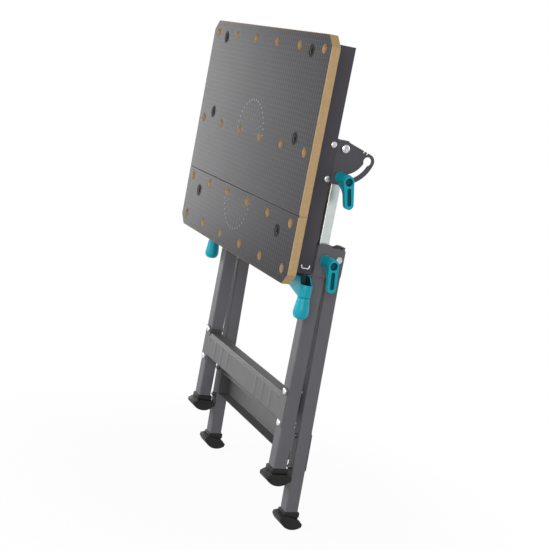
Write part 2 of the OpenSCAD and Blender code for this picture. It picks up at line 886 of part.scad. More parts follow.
// Round spacers between the height tubes and the quadrants, on both bolts
module pivot_spacers() {
    color(zinc) stand() both_sides() for (z = [pivot_z, tilt_bolt_z])
        translate([0, pivot_y, z]) difference() {
            bar_x(tube_x1, plate_x0 - slide_gap, spacer_d);
            bar_x(tube_x1 - overrun, plate_x0 + overrun, bolt_d);
        }
}

module tilt_bolts() {
    color(zinc) stand() both_sides() translate([0, pivot_y, tilt_bolt_z]) {
        hex_x(tube_x0 - hex_h, tube_x0, hex_af);
        bar_x(tube_x0, lever_x0 + stud_in, bolt_d);
    }
}

module tilt_washers() {
    x = plate_x1 + slide_gap;
    color(zinc) stand() both_sides() translate([0, pivot_y, tilt_bolt_z]) difference() {
        bar_x(x, x + washer_t, washer_d);
        bar_x(x - overrun, x + washer_t + overrun, bolt_d);
    }
}

// Clamp lever about its bolt: a long hub, an arm across its outer end with a slot in its face,
// and a hollow fillet between the two
module clamp_lever() {
    arm_x = lever_reach - lever_arm_t;
    tip = lever_len - lever_arm_w / 2;
    slot_z = -lever_slot_start - lever_slot_w / 2;
    slot_tip = slot_z - lever_slot_len + lever_slot_w;
    difference() {
        union() {
            bar_x(0, lever_reach, 2 * lever_hub_r);
            bar_x(0, lever_skirt_t, lever_skirt_d);
            side_plate(arm_x, lever_arm_t) {
                translate([-lever_arm_w / 2, -tip]) square([lever_arm_w, tip]);
                translate([0, -tip]) circle(d = lever_arm_w);
            }
            cross_plate(lever_web_t) difference() {
                translate([arm_x - lever_web, -lever_hub_r - lever_web])
                    square([lever_web, lever_hub_r + lever_web]);
                translate([arm_x - lever_web, -lever_hub_r - lever_web]) circle(r = lever_web);
            }
        }
        bar_x(-overrun, lever_bore, bolt_d + 2 * run_gap);
        bar_x(lever_reach - lever_recess_deep, lever_reach + overrun, lever_recess_d);
        side_plate(lever_reach - lever_slot_deep, lever_slot_deep + overrun) {
            for (z = [slot_z, slot_tip]) translate([0, z]) circle(d = lever_slot_w);
            translate([-lever_slot_w / 2, slot_tip]) square([lever_slot_w, slot_z - slot_tip]);
        }
    }
}

module tilt_lever(s) {
    on_side(s) translate([lever_x0, pivot_y, tilt_bolt_z])
        rotate([tilt_lever_lean, 0, 0]) clamp_lever();
}

module height_lever(s) {
    on_side(s) translate([lever_x0, height_screw_y, height_screw_z])
        rotate([height_lever_lean, 0, 0]) clamp_lever();
}

module tilt_lever_left() {
    color(teal) stand() tilt_lever(-1);
}

module tilt_lever_right() {
    color(teal) stand() tilt_lever(1);
}

module height_lever_left() {
    color(teal) stand() height_lever(-1);
}

module height_lever_right() {
    color(teal) stand() height_lever(1);
}

// Trestle: places of the height screws, the fold pivots and the tread bolts
module at_height_screw() {
    translate([0, height_screw_y, height_screw_z]) children();
}

module at_fold() {
    translate([0, fold_y, fold_z]) children();
}

// Rear frame about its pivots, leaning back by the folded angle
module rear_frame() {
    at_fold() rotate([rear_lean, 0, 0]) children();
}

module at_tread_bolts() {
    for (z = [-1, 1]) translate([side_x, 0, z * tread_bolt_pitch / 2]) children();
}

module at_front_tread() {
    translate([0, pivot_y, front_tread_z]) children();
}

module at_rear_tread() {
    rear_frame() translate([0, 0, rear_tread_rise - rear_leg_len]) mirror([0, 1, 0]) children();
}

module front_leg() {
    difference() {
        translate([side_x, pivot_y, 0])
            box_tube(leg_w, leg_wall, leg_corner_r, front_leg_z0, front_leg_len);
        at_height_screw() bar_x(side_x, leg_plate_x1, bolt_d);
        at_front_tread() at_tread_bolts() bar_y(-leg_w, leg_w, tread_bolt_d);
    }
}

module front_leg_left() {
    color(steel_grey) stand() on_side(-1) front_leg();
}

module front_leg_right() {
    color(steel_grey) stand() on_side(1) front_leg();
}

// Plastic bushes in the tops of the front legs
module guide_bushes() {
    w = leg_w - 2 * leg_wall;
    bore = inner_w + 2 * slide_gap;
    color(plastic_black) stand() both_sides() difference() {
        translate([side_x, pivot_y, leg_top_z]) {
            linear_extrude(bush_lip) rounded_rect(leg_w, leg_w, leg_corner_r);
            translate([0, 0, -bush_len]) linear_extrude(bush_len)
                rounded_rect(w, w, leg_corner_r - leg_wall / 2);
        }
        translate([side_x, pivot_y, leg_top_z - bush_len - overrun])
            linear_extrude(bush_len + bush_lip + 2 * overrun)
                rounded_rect(bore, bore, tube_corner_r + slide_gap);
        at_height_screw() bar_x(side_x, leg_plate_x1, bolt_d);
    }
}

// Pair of plates that joins a front leg to its rear leg, sloping down from the front leg
module leg_plates() {
    y0 = pivot_y - leg_w / 2;
    y1 = fold_y + leg_plate_back;
    z1 = leg_top_z + leg_plate_rise;
    z0 = z1 - leg_plate_h;
    flat_y = y0 + leg_plate_flat;
    slope_y = flat_y + leg_plate_slope;
    low_z = z1 - leg_plate_step;
    difference() {
        for (x = [leg_plate_x0, side_x - leg_w / 2 - plate_t]) side_plate(x, plate_t) {
            difference() {
                translate([(y0 + slope_y) / 2, (z0 + z1) / 2])
                    rounded_rect(slope_y - y0, z1 - z0, leg_plate_r);
                polygon([
                    [flat_y, z1], [slope_y, low_z], [slope_y + overrun, low_z],
                    [slope_y + overrun, z1 + overrun], [flat_y, z1 + overrun]
                ]);
            }
            translate([(y0 + y1) / 2, (z0 + low_z) / 2])
                rounded_rect(y1 - y0, low_z - z0, leg_plate_r);
        }
        at_fold() bar_x(side_x - leg_w, side_x + leg_w, fold_bolt_d);
        at_height_screw() bar_x(side_x, leg_plate_x1 + overrun, bolt_d);
    }
}

module leg_plates_left() {
    color(steel_grey) stand() on_side(-1) leg_plates();
}

module leg_plates_right() {
    color(steel_grey) stand() on_side(1) leg_plates();
}

// Clamp screws of the height adjustment, each with its washer
module height_screws() {
    color(zinc) stand() both_sides() at_height_screw() {
        bar_x(tube_x1 + face_gap, lever_x0 + stud_in, bolt_d);
        bar_x(leg_plate_x1, lever_x0 - lever_gap, washer_d);
    }
}

module fold_bolts() {
    color(zinc) stand() both_sides() at_fold() {
        bar_x(side_x - leg_w / 2 - plate_t - hex_h - tread_bolt_end, leg_plate_x1, fold_bolt_d);
        hex_x(leg_plate_x1, leg_plate_x1 + fold_hex_h, fold_hex_af);
    }
}

module fold_nuts() {
    x = side_x - leg_w / 2 - plate_t;
    color(zinc) stand() both_sides() at_fold() difference() {
        hex_x(x - hex_h, x, fold_hex_af);
        bar_x(x - hex_h - overrun, x + overrun, fold_bolt_d);
    }
}

// Folded sheet tread in front of two legs of section w: a panel with ribs and a long groove, its
// edges folded back between the legs, its ends bolted to the legs, and tabs beside the legs
module tread(w) {
    face = -w / 2 - tread_t;
    inner_x = side_x - w / 2 - face_gap;
    difference() {
        union() {
            translate([-side_x, face, -tread_h / 2]) cube([2 * side_x, tread_t, tread_h]);
            for (z = [-tread_h / 2, tread_h / 2 - tread_t])
                translate([-inner_x, face, z]) cube([2 * inner_x, tread_fold, tread_t]);
            both_sides() {
                translate([side_x, face + tread_t / 2, 0]) cross_plate(tread_t)
                    rounded_rect(tread_end_w, tread_end_h, tread_corner_r);
                translate([inner_x - tread_t, face + tread_t, -tread_h / 2])
                    cube([tread_t, tread_fold - tread_t, tread_h + tread_tab]);
                for (x = bead_x) translate([x, face - bead_proud / 2, 0])
                    cross_plate(bead_proud) rounded_rect(bead_w, bead_h, bead_w / 3);
            }
        }
        translate([-bead_x[2], face - overrun + groove_deep, tread_h / 2 - groove_inset])
            cube([2 * bead_x[2], overrun, groove_w]);
        both_sides() at_tread_bolts() bar_y(-leg_w, 0, tread_bolt_d);
    }
}

module tread_bolts(w) {
    face = -w / 2 - tread_t;
    both_sides() at_tread_bolts() {
        bar_y(face - tread_head_h, face, tread_head_d);
        bar_y(face, w / 2 + tread_nut_h + tread_bolt_end, tread_bolt_d);
    }
}

module tread_nuts(w) {
    both_sides() at_tread_bolts() difference() {
        hex_y(w / 2, w / 2 + tread_nut_h, tread_nut_af);
        bar_y(0, leg_w, tread_bolt_d);
    }
}

module front_tread() {
    color(steel_grey) stand() at_front_tread() tread(leg_w);
}

module front_tread_bolts() {
    color(zinc) stand() at_front_tread() tread_bolts(leg_w);
}

module front_tread_nuts() {
    color(zinc) stand() at_front_tread() tread_nuts(leg_w);
}

module rear_tread() {
    color(steel_grey) stand() at_rear_tread() tread(rear_leg_w);
}

module rear_tread_bolts() {
    color(zinc) stand() at_rear_tread() tread_bolts(rear_leg_w);
}

module rear_tread_nuts() {
    color(zinc) stand() at_rear_tread() tread_nuts(rear_leg_w);
}

// Foot on the end of a leg of section w: a collar, and a round sole turned about the leg's end
module foot(w, turn) {
    collar = w + 2 * collar_wall;
    top_z = sole_tip_z + sole_edge;
    difference() {
        union() {
            linear_extrude(collar_h) rounded_rect(collar, collar, leg_corner_r + collar_wall / 2);
            rotate([turn, 0, 0]) side_plate(-sole_l / 2, sole_l) intersection() {
                translate([0, sole_centre]) circle(r = sole_r);
                polygon([
                    [-sole_w / 2, -sole_drop], [sole_w / 2, -sole_drop], [sole_w / 2, top_z],
                    [collar / 2, collar_h / 2], [-collar / 2, collar_h / 2], [-sole_w / 2, top_z]
                ]);
            }
        }
        linear_extrude(collar_h + overrun) rounded_rect(w, w, leg_corner_r);
    }
}

module front_foot(s) {
    on_side(s) translate([side_x, pivot_y, front_leg_z0]) foot(leg_w, 0);
}

module rear_foot(s) {
    on_side(s) rear_frame() translate([side_x, 0, -rear_leg_len]) foot(rear_leg_w, -rear_foot_turn);
}

module front_foot_left() {
    color(plastic_black) stand() front_foot(-1);
}

module front_foot_right() {
    color(plastic_black) stand() front_foot(1);
}

module rear_foot_left() {
    color(plastic_black) stand() rear_foot(-1);
}

module rear_foot_right() {
    color(plastic_black) stand() rear_foot(1);
}

// Band of the rear leg's side view between two distances from the fold pivot, along the line that
// stands upright behind the front leg when the legs are open
module stop_band(r0, r1) {
    rotate(90 - fold_range - rear_lean) translate([-2 * leg_w, r0]) square([4 * leg_w, r1 - r0]);
}

stop_r = fold_back - leg_w / 2 - stop_gap;
leg_cut_r = stop_r - cap_face;

module rear_leg() {
    rear_frame() difference() {
        translate([side_x, 0, 0])
            box_tube(rear_leg_w, leg_wall, leg_corner_r, -rear_leg_len, rear_leg_len + cap_reach);
        side_plate(side_x - leg_w, 2 * leg_w) stop_band(leg_cut_r, leg_cut_r + 2 * leg_w);
        bar_x(side_x - leg_w, side_x + leg_w, fold_bolt_d + 2 * run_gap);
        translate([0, 0, rear_tread_rise - rear_leg_len]) at_tread_bolts()
            bar_y(-leg_w, leg_w, tread_bolt_d);
    }
}

module rear_leg_left() {
    color(steel_grey) stand() on_side(-1) rear_leg();
}

module rear_leg_right() {
    color(steel_grey) stand() on_side(1) rear_leg();
}

// End caps in the slanted tops of the rear legs, which meet the back of the front legs when open
module rear_leg_caps() {
    bore = rear_leg_w - 2 * leg_wall;
    color(plastic_black) stand() both_sides() rear_frame() {
        intersection() {
            translate([side_x, 0, 0]) linear_extrude(cap_reach)
                rounded_rect(rear_leg_w, rear_leg_w, leg_corner_r);
            side_plate(side_x - leg_w, 2 * leg_w) stop_band(leg_cut_r, stop_r);
        }
        intersection() {
            translate([side_x, 0, -cap_plug]) linear_extrude(cap_reach + cap_plug)
                rounded_rect(bore, bore, leg_corner_r - leg_wall / 2);
            side_plate(side_x - leg_w, 2 * leg_w) stop_band(leg_cut_r - cap_plug, leg_cut_r);
        }
    }
}

front_jaw();
rear_jaw();
front_jaw_screws();
rear_jaw_screws();
rail_left();
rail_right();
spindle_bearings();
bearing_clips();
spindle_left();
spindle_right();
carrier_left();
carrier_right();
spindle_nuts();
crank_left();
crank_right();
crank_pin_left();
crank_pin_right();
crank_grip_left();
crank_grip_right();
quadrant_left();
quadrant_right();
pivot_plates();
quadrant_screws();
height_tube_left();
height_tube_right();
height_tube_plugs();
height_tube_shoes();
pivot_crossbar();
pivot_bolts();
pivot_spacers();
tilt_bolts();
tilt_washers();
tilt_lever_left();
tilt_lever_right();
front_leg_left();
front_leg_right();
guide_bushes();
leg_plates_left();
leg_plates_right();
height_screws();
height_lever_left();
height_lever_right();
fold_bolts();
fold_nuts();
front_tread();
front_tread_bolts();
front_tread_nuts();
front_foot_left();
front_foot_right();
rear_leg_left();
rear_leg_right();
rear_leg_caps();
rear_tread();
rear_tread_bolts();
rear_tread_nuts();
rear_foot_left();
rear_foot_right();
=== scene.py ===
# %% [markdown]
# A folding workbench, dressed for the camera.
#
# The bench stands folded flat: two dark printed boards with tan cut edges, two steel channels
# behind them, a trestle of square tubes, and teal moulded cranks and clamp levers. The packed
# model gives the bodies that move. This script gives every surface its finish, and swaps the
# plain solids of the moulded, folded and turned pieces for meshes with their real forms.

# %% Load the frame
import json
import math

import bmesh
import bpy
from mathutils import Euler, Matrix, Vector


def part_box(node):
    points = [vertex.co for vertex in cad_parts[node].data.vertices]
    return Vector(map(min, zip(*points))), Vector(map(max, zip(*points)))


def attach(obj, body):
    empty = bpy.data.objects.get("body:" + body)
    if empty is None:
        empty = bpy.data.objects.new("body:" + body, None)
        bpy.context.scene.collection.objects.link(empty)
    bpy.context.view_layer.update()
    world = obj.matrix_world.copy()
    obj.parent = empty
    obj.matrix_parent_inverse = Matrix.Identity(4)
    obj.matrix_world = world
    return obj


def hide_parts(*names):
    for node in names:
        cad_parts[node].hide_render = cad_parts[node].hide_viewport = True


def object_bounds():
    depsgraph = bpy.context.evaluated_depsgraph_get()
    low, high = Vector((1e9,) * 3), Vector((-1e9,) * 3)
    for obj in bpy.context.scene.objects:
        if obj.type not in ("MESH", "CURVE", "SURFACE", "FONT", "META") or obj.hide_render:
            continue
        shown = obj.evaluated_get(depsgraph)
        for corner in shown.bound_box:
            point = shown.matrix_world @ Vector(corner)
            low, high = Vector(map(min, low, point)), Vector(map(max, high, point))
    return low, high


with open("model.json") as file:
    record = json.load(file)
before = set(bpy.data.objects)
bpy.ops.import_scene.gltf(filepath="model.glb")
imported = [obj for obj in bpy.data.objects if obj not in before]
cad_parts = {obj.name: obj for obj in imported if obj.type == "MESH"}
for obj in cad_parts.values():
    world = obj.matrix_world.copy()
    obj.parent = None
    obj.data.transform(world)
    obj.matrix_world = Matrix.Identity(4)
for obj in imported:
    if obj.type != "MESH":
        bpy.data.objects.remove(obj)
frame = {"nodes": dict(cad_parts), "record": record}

cad_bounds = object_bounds()

# %% [markdown]
# Every size below is read from the frame, or given in millimetres as on a drawing. The board's
# face and its front edge are the easiest places to measure from, so a small helper turns such a
# drawing's numbers into the frame's metres. The joints' own axes place what turns on them.

# %% Places on the bench
MM = 0.001
SIDES = {"right": 1, "left": -1}

# Middles that many pieces share: of the rails, legs and spindles, and of the tilt axis.
SIDE_X, SPINDLE_Y, LEG_Y, PIVOT_Z = 237, 64, 102.5, 272
# The front tread's middle, and half the height of either tread.
FRONT_TREAD_Z, TREAD_HALF = -267, 27.5
# The heights of each board's screws.
SCREW_Z = {"front_jaw": (92,), "rear_jaw": (275, 445)}
face_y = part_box("front_jaw")[0].y
edge_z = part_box("front_jaw")[0].z


def at(x, y, z):
    """Point x mm right of the middle, y mm behind the board's face, z mm above its front edge."""
    return Vector((x * MM, face_y + y * MM, edge_z + z * MM))


def axis_of(joint):
    """Point on a joint's axis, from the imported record."""
    joints = frame["record"]["behaviour"]["joints"]
    return Vector(next(j["pos_m"] for j in joints if j["name"] == joint))


def pair(name):
    return [name + "_" + side for side in SIDES]


print("face at y", round(face_y, 4), "front edge at z", round(edge_z, 4))

# %% [markdown]
# The photo was taken from the right end of the bench, a little above it, with the camera tipped
# to one side. Heading, pitch and roll describe that the way a tripod head would.

# %% Camera
camera_at = at(2402.3, -969.5, 409.4)
heading, pitch, roll = 65.56, -9.70, 11.04

camera_data = bpy.data.cameras.new("camera")
camera_data.lens = 79.85
camera_data.sensor_width = 36
camera_data.clip_end = 50
camera = bpy.data.objects.new("camera", camera_data)
bpy.context.scene.collection.objects.link(camera)
look = Euler((math.radians(90 + pitch), 0, math.radians(heading)), "XYZ").to_matrix()
camera.matrix_world = Matrix.Translation(camera_at) @ (
    look @ Matrix.Rotation(math.radians(roll), 3, "Z")
).to_4x4()
bpy.context.scene.camera = camera
print("camera", [round(v, 3) for v in camera_at])

# %% [markdown]
# Node trees are hard to read as long lists of links. A small class wraps one output of a node and
# overloads the arithmetic signs, so a mask can be written as the formula that it is. Any other
# node comes from one method that takes the node's type, its settings and its inputs.


# %% Shader maths
class Value:
    """One output of a node, which takes part in sums like a number."""

    def __init__(self, finish, socket):
        self.finish, self.socket = finish, socket

    def maths(self, operation, *inputs):
        return self.finish.node("ShaderNodeMath", {"operation": operation}, dict(enumerate(inputs)))

    def __add__(self, other):
        return self.maths("ADD", self, other)

    def __sub__(self, other):
        return self.maths("SUBTRACT", self, other)

    def __rsub__(self, other):
        return self.maths("SUBTRACT", other, self)

    def __mul__(self, other):
        return self.maths("MULTIPLY", self, other)

    def __truediv__(self, other):
        return self.maths("DIVIDE", self, other)

    def __lt__(self, other):
        return self.maths("LESS_THAN", self, other)

    def __gt__(self, other):
        return self.maths("GREATER_THAN", self, other)

    __radd__, __rmul__ = __add__, __mul__

    def size(self):
        return self.maths("ABSOLUTE", self)

    def larger(self, other):
        return self.maths("MAXIMUM", self, other)

    def root(self):
        return self.maths("SQRT", self)

    def wrapped(self, step):
        """Distance along repeats of step, from 0 to step."""
        # The node keeps a negative number's sign, so a whole number of steps is added first.
        return self.maths("MODULO", self + 100 * step, step)

    def near(self, place, reach, soft):
        """1 within reach of place, and 0 beyond it, over a soft edge."""
        return self.finish.fade((self - place).size(), reach + soft / 2, reach - soft / 2)


class Finish:
    """A material whose nodes are written as expressions."""

    def __init__(self, name, tree=None):
        if tree is None:
            self.material = bpy.data.materials.new(name)
            self.material.use_nodes = True
            tree = self.material.node_tree
        self.tree = tree
        self.tree.nodes.clear()

    def places(self):
        """The point being shaded, and its three coordinates, in the bench's frame."""
        self.place = self.node("ShaderNodeTexCoord", out="Object")
        split = self.node("ShaderNodeSeparateXYZ", inputs={"Vector": self.place})
        self.x, self.y, self.z = (Value(self, out) for out in split.socket.node.outputs)
        return self

    def node(self, kind, settings=None, inputs=None, out=0):
        made = self.tree.nodes.new(kind)
        for key, value in (settings or {}).items():
            setattr(made, key, value)
        for key, value in (inputs or {}).items():
            socket = made.inputs[key]
            if isinstance(value, Value):
                self.tree.links.new(value.socket, socket)
            elif isinstance(value, tuple) and len(value) == 3 and socket.type == "RGBA":
                socket.default_value = (*value, 1)
            else:
                socket.default_value = value
        return Value(self, made.outputs[out]) if made.outputs else made

    def fade(self, value, low, high):
        """0 at low and 1 at high, straight in between and flat beyond."""
        return self.node("ShaderNodeMapRange", {"clamp": True},
                         {"Value": value, "From Min": low, "From Max": high})

    def mix(self, share, first, second):
        """Colour between first, at share 0, and second, at share 1."""
        return self.node("ShaderNodeMix", {"data_type": "RGBA"},
                         {0: share, 6: first, 7: second}, out=2)

    def noise(self, scale, detail=2.0, stretch=(1, 1, 1)):
        stretched = self.node("ShaderNodeVectorMath", {"operation": "MULTIPLY"},
                              {0: self.place, 1: stretch})
        return self.node("ShaderNodeTexNoise", {}, {
            "Vector": stretched, "Scale": scale, "Detail": detail})

    def bump(self, height, distance, strength=1.0):
        return self.node("ShaderNodeBump", {},
                         {"Height": height, "Distance": distance, "Strength": strength})

    def surface(self, **sockets):
        """Principled shader with these sockets, as the material's surface."""
        names = {"color": "Base Color", "roughness": "Roughness", "metallic": "Metallic",
                 "normal": "Normal", "specular": "Specular IOR Level"}
        shader = self.node("ShaderNodeBsdfPrincipled", {},
                           {names[key]: value for key, value in sockets.items()})
        self.node("ShaderNodeOutputMaterial", {}, {"Surface": shader})
        return self.material


def srgb(red, green, blue):
    """A colour as a picture shows it, from 0 to 255, as the linear light that shaders use."""
    return tuple((v / 255 / 12.92) if v <= 10 else ((v / 255 + 0.055) / 1.055) ** 2.4
                 for v in (red, green, blue))


def lighter(shade, times):
    return tuple(times * v for v in shade)


# %% [markdown]
# Powder coat is a paint melted onto steel. It is even in colour, a little uneven in gloss, and it
# has a fine orange-peel skin, so a small noise moves its roughness and a finer one its bump. Shade
# is painted where a mask says: along the line that parts a quadrant from its rail, and on the
# flanges of the treads and towards the rear tread's ends.


# %% Powder-coated steel
RAIL_BACK, TREAD_TOP = 84, FRONT_TREAD_Z + TREAD_HALF


def powder_coat(name, shade, roughness=0.48, shaded=None, specular=0.2):
    paint = Finish(name).places()
    cloud = paint.noise(14.0)
    peel = paint.noise(900.0, 1.0)
    mottle_and_painted_shade = paint.mix(paint.fade(cloud, 0.35, 0.7), shade, lighter(shade, 1.1))
    # Where a mask is given, shade is painted on the coat there.
    if shaded:
        mottle_and_painted_shade = paint.mix(shaded(paint), mottle_and_painted_shade, lighter(shade, 0.35))
    return paint.surface(color=mottle_and_painted_shade, roughness=roughness + 0.08 * (cloud - 0.5),
                         normal=paint.bump(peel, 0.02 * MM, 0.25), specular=specular)


def rear_tread_painted_shade(paint):
    """1 where the rear tread's painted shade is darkest: along its lower flange, and less towards
    its ends.
    """
    below_flange = 14
    lower_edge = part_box("rear_tread")[0].z + below_flange * MM
    flange = paint.fade(paint.z, lower_edge + 3 * MM, lower_edge + 1.5 * MM)
    ends = paint.fade(paint.x.size(), 110 * MM, 221 * MM)
    return (0.8 * flange).larger(0.65 * ends)


dark_steel = powder_coat("dark powder coat", srgb(66, 64, 69))
grey_steel = powder_coat("grey powder coat", srgb(94, 93, 97))
# Painted shade along the line where the rail's back edge meets the quadrant.
quadrant_steel = powder_coat(
    "quadrant powder coat", srgb(75, 73, 78),
    shaded=lambda paint: 0.5 * paint.y.near(at(0, RAIL_BACK, 0).y, 1.1 * MM, 0.8 * MM))
tread_steel = powder_coat(
    "rear tread powder coat", srgb(105, 104, 105), shaded=rear_tread_painted_shade)
# Painted shade on the front tread's top flange.
light_steel = powder_coat(
    "light grey powder coat", srgb(95, 95, 96),
    shaded=lambda paint: 0.75 * paint.fade(
        paint.z, at(0, 0, TREAD_TOP - 1.1).z, at(0, 0, TREAD_TOP - 0.1).z))
print("powder coats:", dark_steel.name, quadrant_steel.name, grey_steel.name, tread_steel.name,
      light_steel.name)

# %% [markdown]
# Zinc plating is bright, with a faint cloudy bloom, and the drawn height tubes show fine lines
# along their length. Stretching a noise along Z gives those lines.


# %% Bright zinc
def zinc_plate(name, shade, lines=(1, 1, 1)):
    zinc = Finish(name).places()
    bloom = zinc.noise(60.0, 3.0)
    drawn = zinc.noise(1500.0, 1.0, lines)
    return zinc.surface(color=zinc.mix(bloom, lighter(shade, 0.8), shade), metallic=1.0,
                        roughness=0.24 + 0.16 * bloom,
                        normal=zinc.bump(drawn, 0.02 * MM, 0.4))


zinc = zinc_plate("zinc", srgb(222, 226, 226))
screw_zinc = zinc_plate("screw zinc", srgb(196, 200, 200))
# A darker copy of the zinc paints shade on the nuts and bolts that sit between the frames.
zinc_in_painted_shade = zinc_plate("zinc in painted shade", srgb(140, 143, 143))
drawn_zinc = zinc_plate("drawn zinc tube", srgb(204, 212, 210), (1, 1, 0.01))

# %% [markdown]
# The clamping spindles are rolled with a thread. A ramp that climbs once a pitch, and once round
# the spindle, is a helix, so a bump from it gives the thread with no faces at all. The angle
# comes from the point's place about the spindle's axis, and both spindles share one material
# because the size of X is the same on both sides.


# %% Rolled thread
def rolled_thread(name, shade, pitch):
    steel = Finish(name).places()
    centre = axis_of("spindle_turn_right")
    across = steel.x.size() - abs(centre.x)
    angle = steel.node("ShaderNodeMath", {"operation": "ARCTAN2"},
                       {0: steel.y - centre.y, 1: across})
    climb = (steel.z / pitch + angle / math.tau).wrapped(1.0)
    ridge = (climb - 0.5).size() * 2
    # The thread's roots are painted darker than its crests: painted shade.
    return steel.surface(color=steel.mix(ridge, lighter(shade, 0.55), shade), metallic=1.0,
                         roughness=0.3 + 0.2 * ridge,
                         normal=steel.bump(ridge, 0.8 * MM))


thread = rolled_thread("rolled thread", srgb(190, 194, 194), 3 * MM)

# %% [markdown]
# The board's screws are phosphated, a dull near-black coat on steel.

# %% Black screws
screw_black = powder_coat("phosphated screw", srgb(26, 26, 28), 0.8, specular=0.05)

# %% [markdown]
# The cranks, grips and levers are moulded in a teal plastic with a fine spark-eroded skin. The
# feet, caps and bushes are a soft black one. Both are one finish with another colour and gloss.
# The teal pieces are hollow where the mould's cores stood, and little light gets down there. A
# mask picks out those walls by their places, and darkens them, so the sizes of the levers and the
# cranks stand here. A mask reaches a fringe past its walls.

# %% Moulded plastic
LEVER_REACH, ARM_IN, HEAD_Z, TIP_Z = 43, 33, -1.5, -47.5
RECESS_R, RECESS_Z, SLOT_R, SLOT_Z = 8, -3, 4.2, (-19, -46)
CRANK_R, CRANK_HALF, CRANK_TOP, CRANK_DROP, HUB_Z = 45, 13.5, 12, -25, -14.5
POCKET_IN, POCKET_HALF, POCKET_Z = 16.3, 10.7, -11
LEFT_TURN = 15
# Each pair of levers with its joint, and how far it leans back, in degrees.
LEVERS = (("tilt_lever", "tilt_clamp", 12.5), ("height_lever", "height_clamp", 6))
FRINGE = 0.1


def moulded(name, shade, roughness, hollows=None):
    plastic = Finish(name).places()
    skin = plastic.noise(700.0, 2.0)
    flow = plastic.noise(30.0, 1.0)
    tone = plastic.mix(flow, shade, lighter(shade, 1.12))
    if hollows:
        tone = plastic.mix(hollows(plastic), tone, lighter(shade, 0.1))
    return plastic.surface(color=tone, roughness=roughness + 0.1 * (flow - 0.5),
                           normal=plastic.bump(skin, 0.05 * MM, 0.6), specular=0.25)


def lever_hollow(plastic, kind, joint, lean):
    """1 in the recess and the slot of a pair of levers."""
    hinge = axis_of(joint + "_right")
    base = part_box(kind + "_right")[0].x
    back, up = plastic.y - hinge.y, plastic.z - hinge.z
    cosine, sine = math.cos(math.radians(lean)), math.sin(math.radians(lean))
    across, along = back * cosine + up * sine, up * cosine - back * sine
    from_recess = along - RECESS_Z * MM
    recess = (across * across + from_recess * from_recess).root() < (RECESS_R + FRINGE) * MM
    slot_middle, slot_half = sum(SLOT_Z) / 2, (SLOT_Z[0] - SLOT_Z[1]) / 2 + SLOT_R + FRINGE
    slot = (across.size() < (SLOT_R + FRINGE) * MM) * (
        (along - slot_middle * MM).size() < slot_half * MM)
    return 0.8 * recess.larger(slot) * (plastic.x.size() < base + (LEVER_REACH - 0.8) * MM)


def crank_hollow(plastic, side, turn):
    """1 in the pocket of one crank."""
    centre = at(SIDE_X, SPINDLE_Y, 0)
    out, back = plastic.x.size() - centre.x, plastic.y - centre.y
    cosine, sine = math.cos(math.radians(turn)), math.sin(math.radians(turn))
    reach, across = out * cosine + back * sine, back * cosine - out * sine
    beyond = reach - CRANK_R * MM
    half = (POCKET_HALF + 2 * FRINGE) * MM
    end = (beyond * beyond + across * across).root() < half
    channel = (across.size() < half) * (reach > (POCKET_IN - 2 * FRINGE) * MM) * (
        reach < (CRANK_R + FRINGE) * MM)
    return end.larger(channel) * (plastic.z > at(0, 0, POCKET_Z - 1).z) * (plastic.x * side > 0)


def teal_hollows(plastic):
    levers = [lever_hollow(plastic, *lever) for lever in LEVERS]
    cranks = [crank_hollow(plastic, 1, 0), crank_hollow(plastic, -1, LEFT_TURN)]
    return levers[0].larger(levers[1]).larger(cranks[0]).larger(cranks[1])


teal = moulded("teal plastic", srgb(10, 148, 165), 0.36, teal_hollows)
black = moulded("black plastic", srgb(17, 17, 16), 0.5)
print("plastics:", teal.name, black.name)

# %% [markdown]
# The boards are fibreboard with a dark printed face. Where the saw and the drill cut, the tan
# fibre shows: on the edges, in the dog holes and on the back. One material does it all, because
# the face is the only part of a board that lies at the face's height. The print is a grid of
# fine lines and two half circles of angle marks, each a short formula in millimetres.


# %% Printed board
# The print: the grid's step and the angle marks' radius in mm, and their steps in degrees.
GRID, MARK_R, MARK_STEP, RAY_STEP = 10.0, 73, 10, 15
# The middles of the two half circles of angle marks.
UPPER_MARKS_Z, LOWER_MARKS_Z = 253, 122


def angle_marks(board, mm_x, mm_z, centre_z, upwards):
    """Half circle of marks about a point on the middle line, with faint rays inside it."""
    rise = mm_z - centre_z
    half = rise > 0 if upwards else rise < 0
    reach = (mm_x * mm_x + rise * rise).root()
    angle = board.node("ShaderNodeMath", {"operation": "ARCTAN2"}, {0: rise, 1: mm_x})
    degrees = angle * (180 / math.pi)
    marks = reach.near(MARK_R, 2.2, 1.0) * degrees.wrapped(MARK_STEP).near(MARK_STEP / 2, 0.8, 0.5)
    rays = reach.near(38, 26, 2.0) * degrees.wrapped(RAY_STEP).near(RAY_STEP / 2, 0.5, 0.4)
    return half * marks.larger(0.4 * rays)


def screw_dishes(mm_x, mm_z):
    """Distance from the middle of the nearest screw, in millimetres."""
    across = mm_x.size() - SIDE_X
    nearest = None
    for height in [z for heights in SCREW_Z.values() for z in heights]:
        rise = mm_z - height
        reach = (across * across + rise * rise).root()
        nearest = reach if nearest is None else nearest.maths("MINIMUM", nearest, reach)
    return nearest


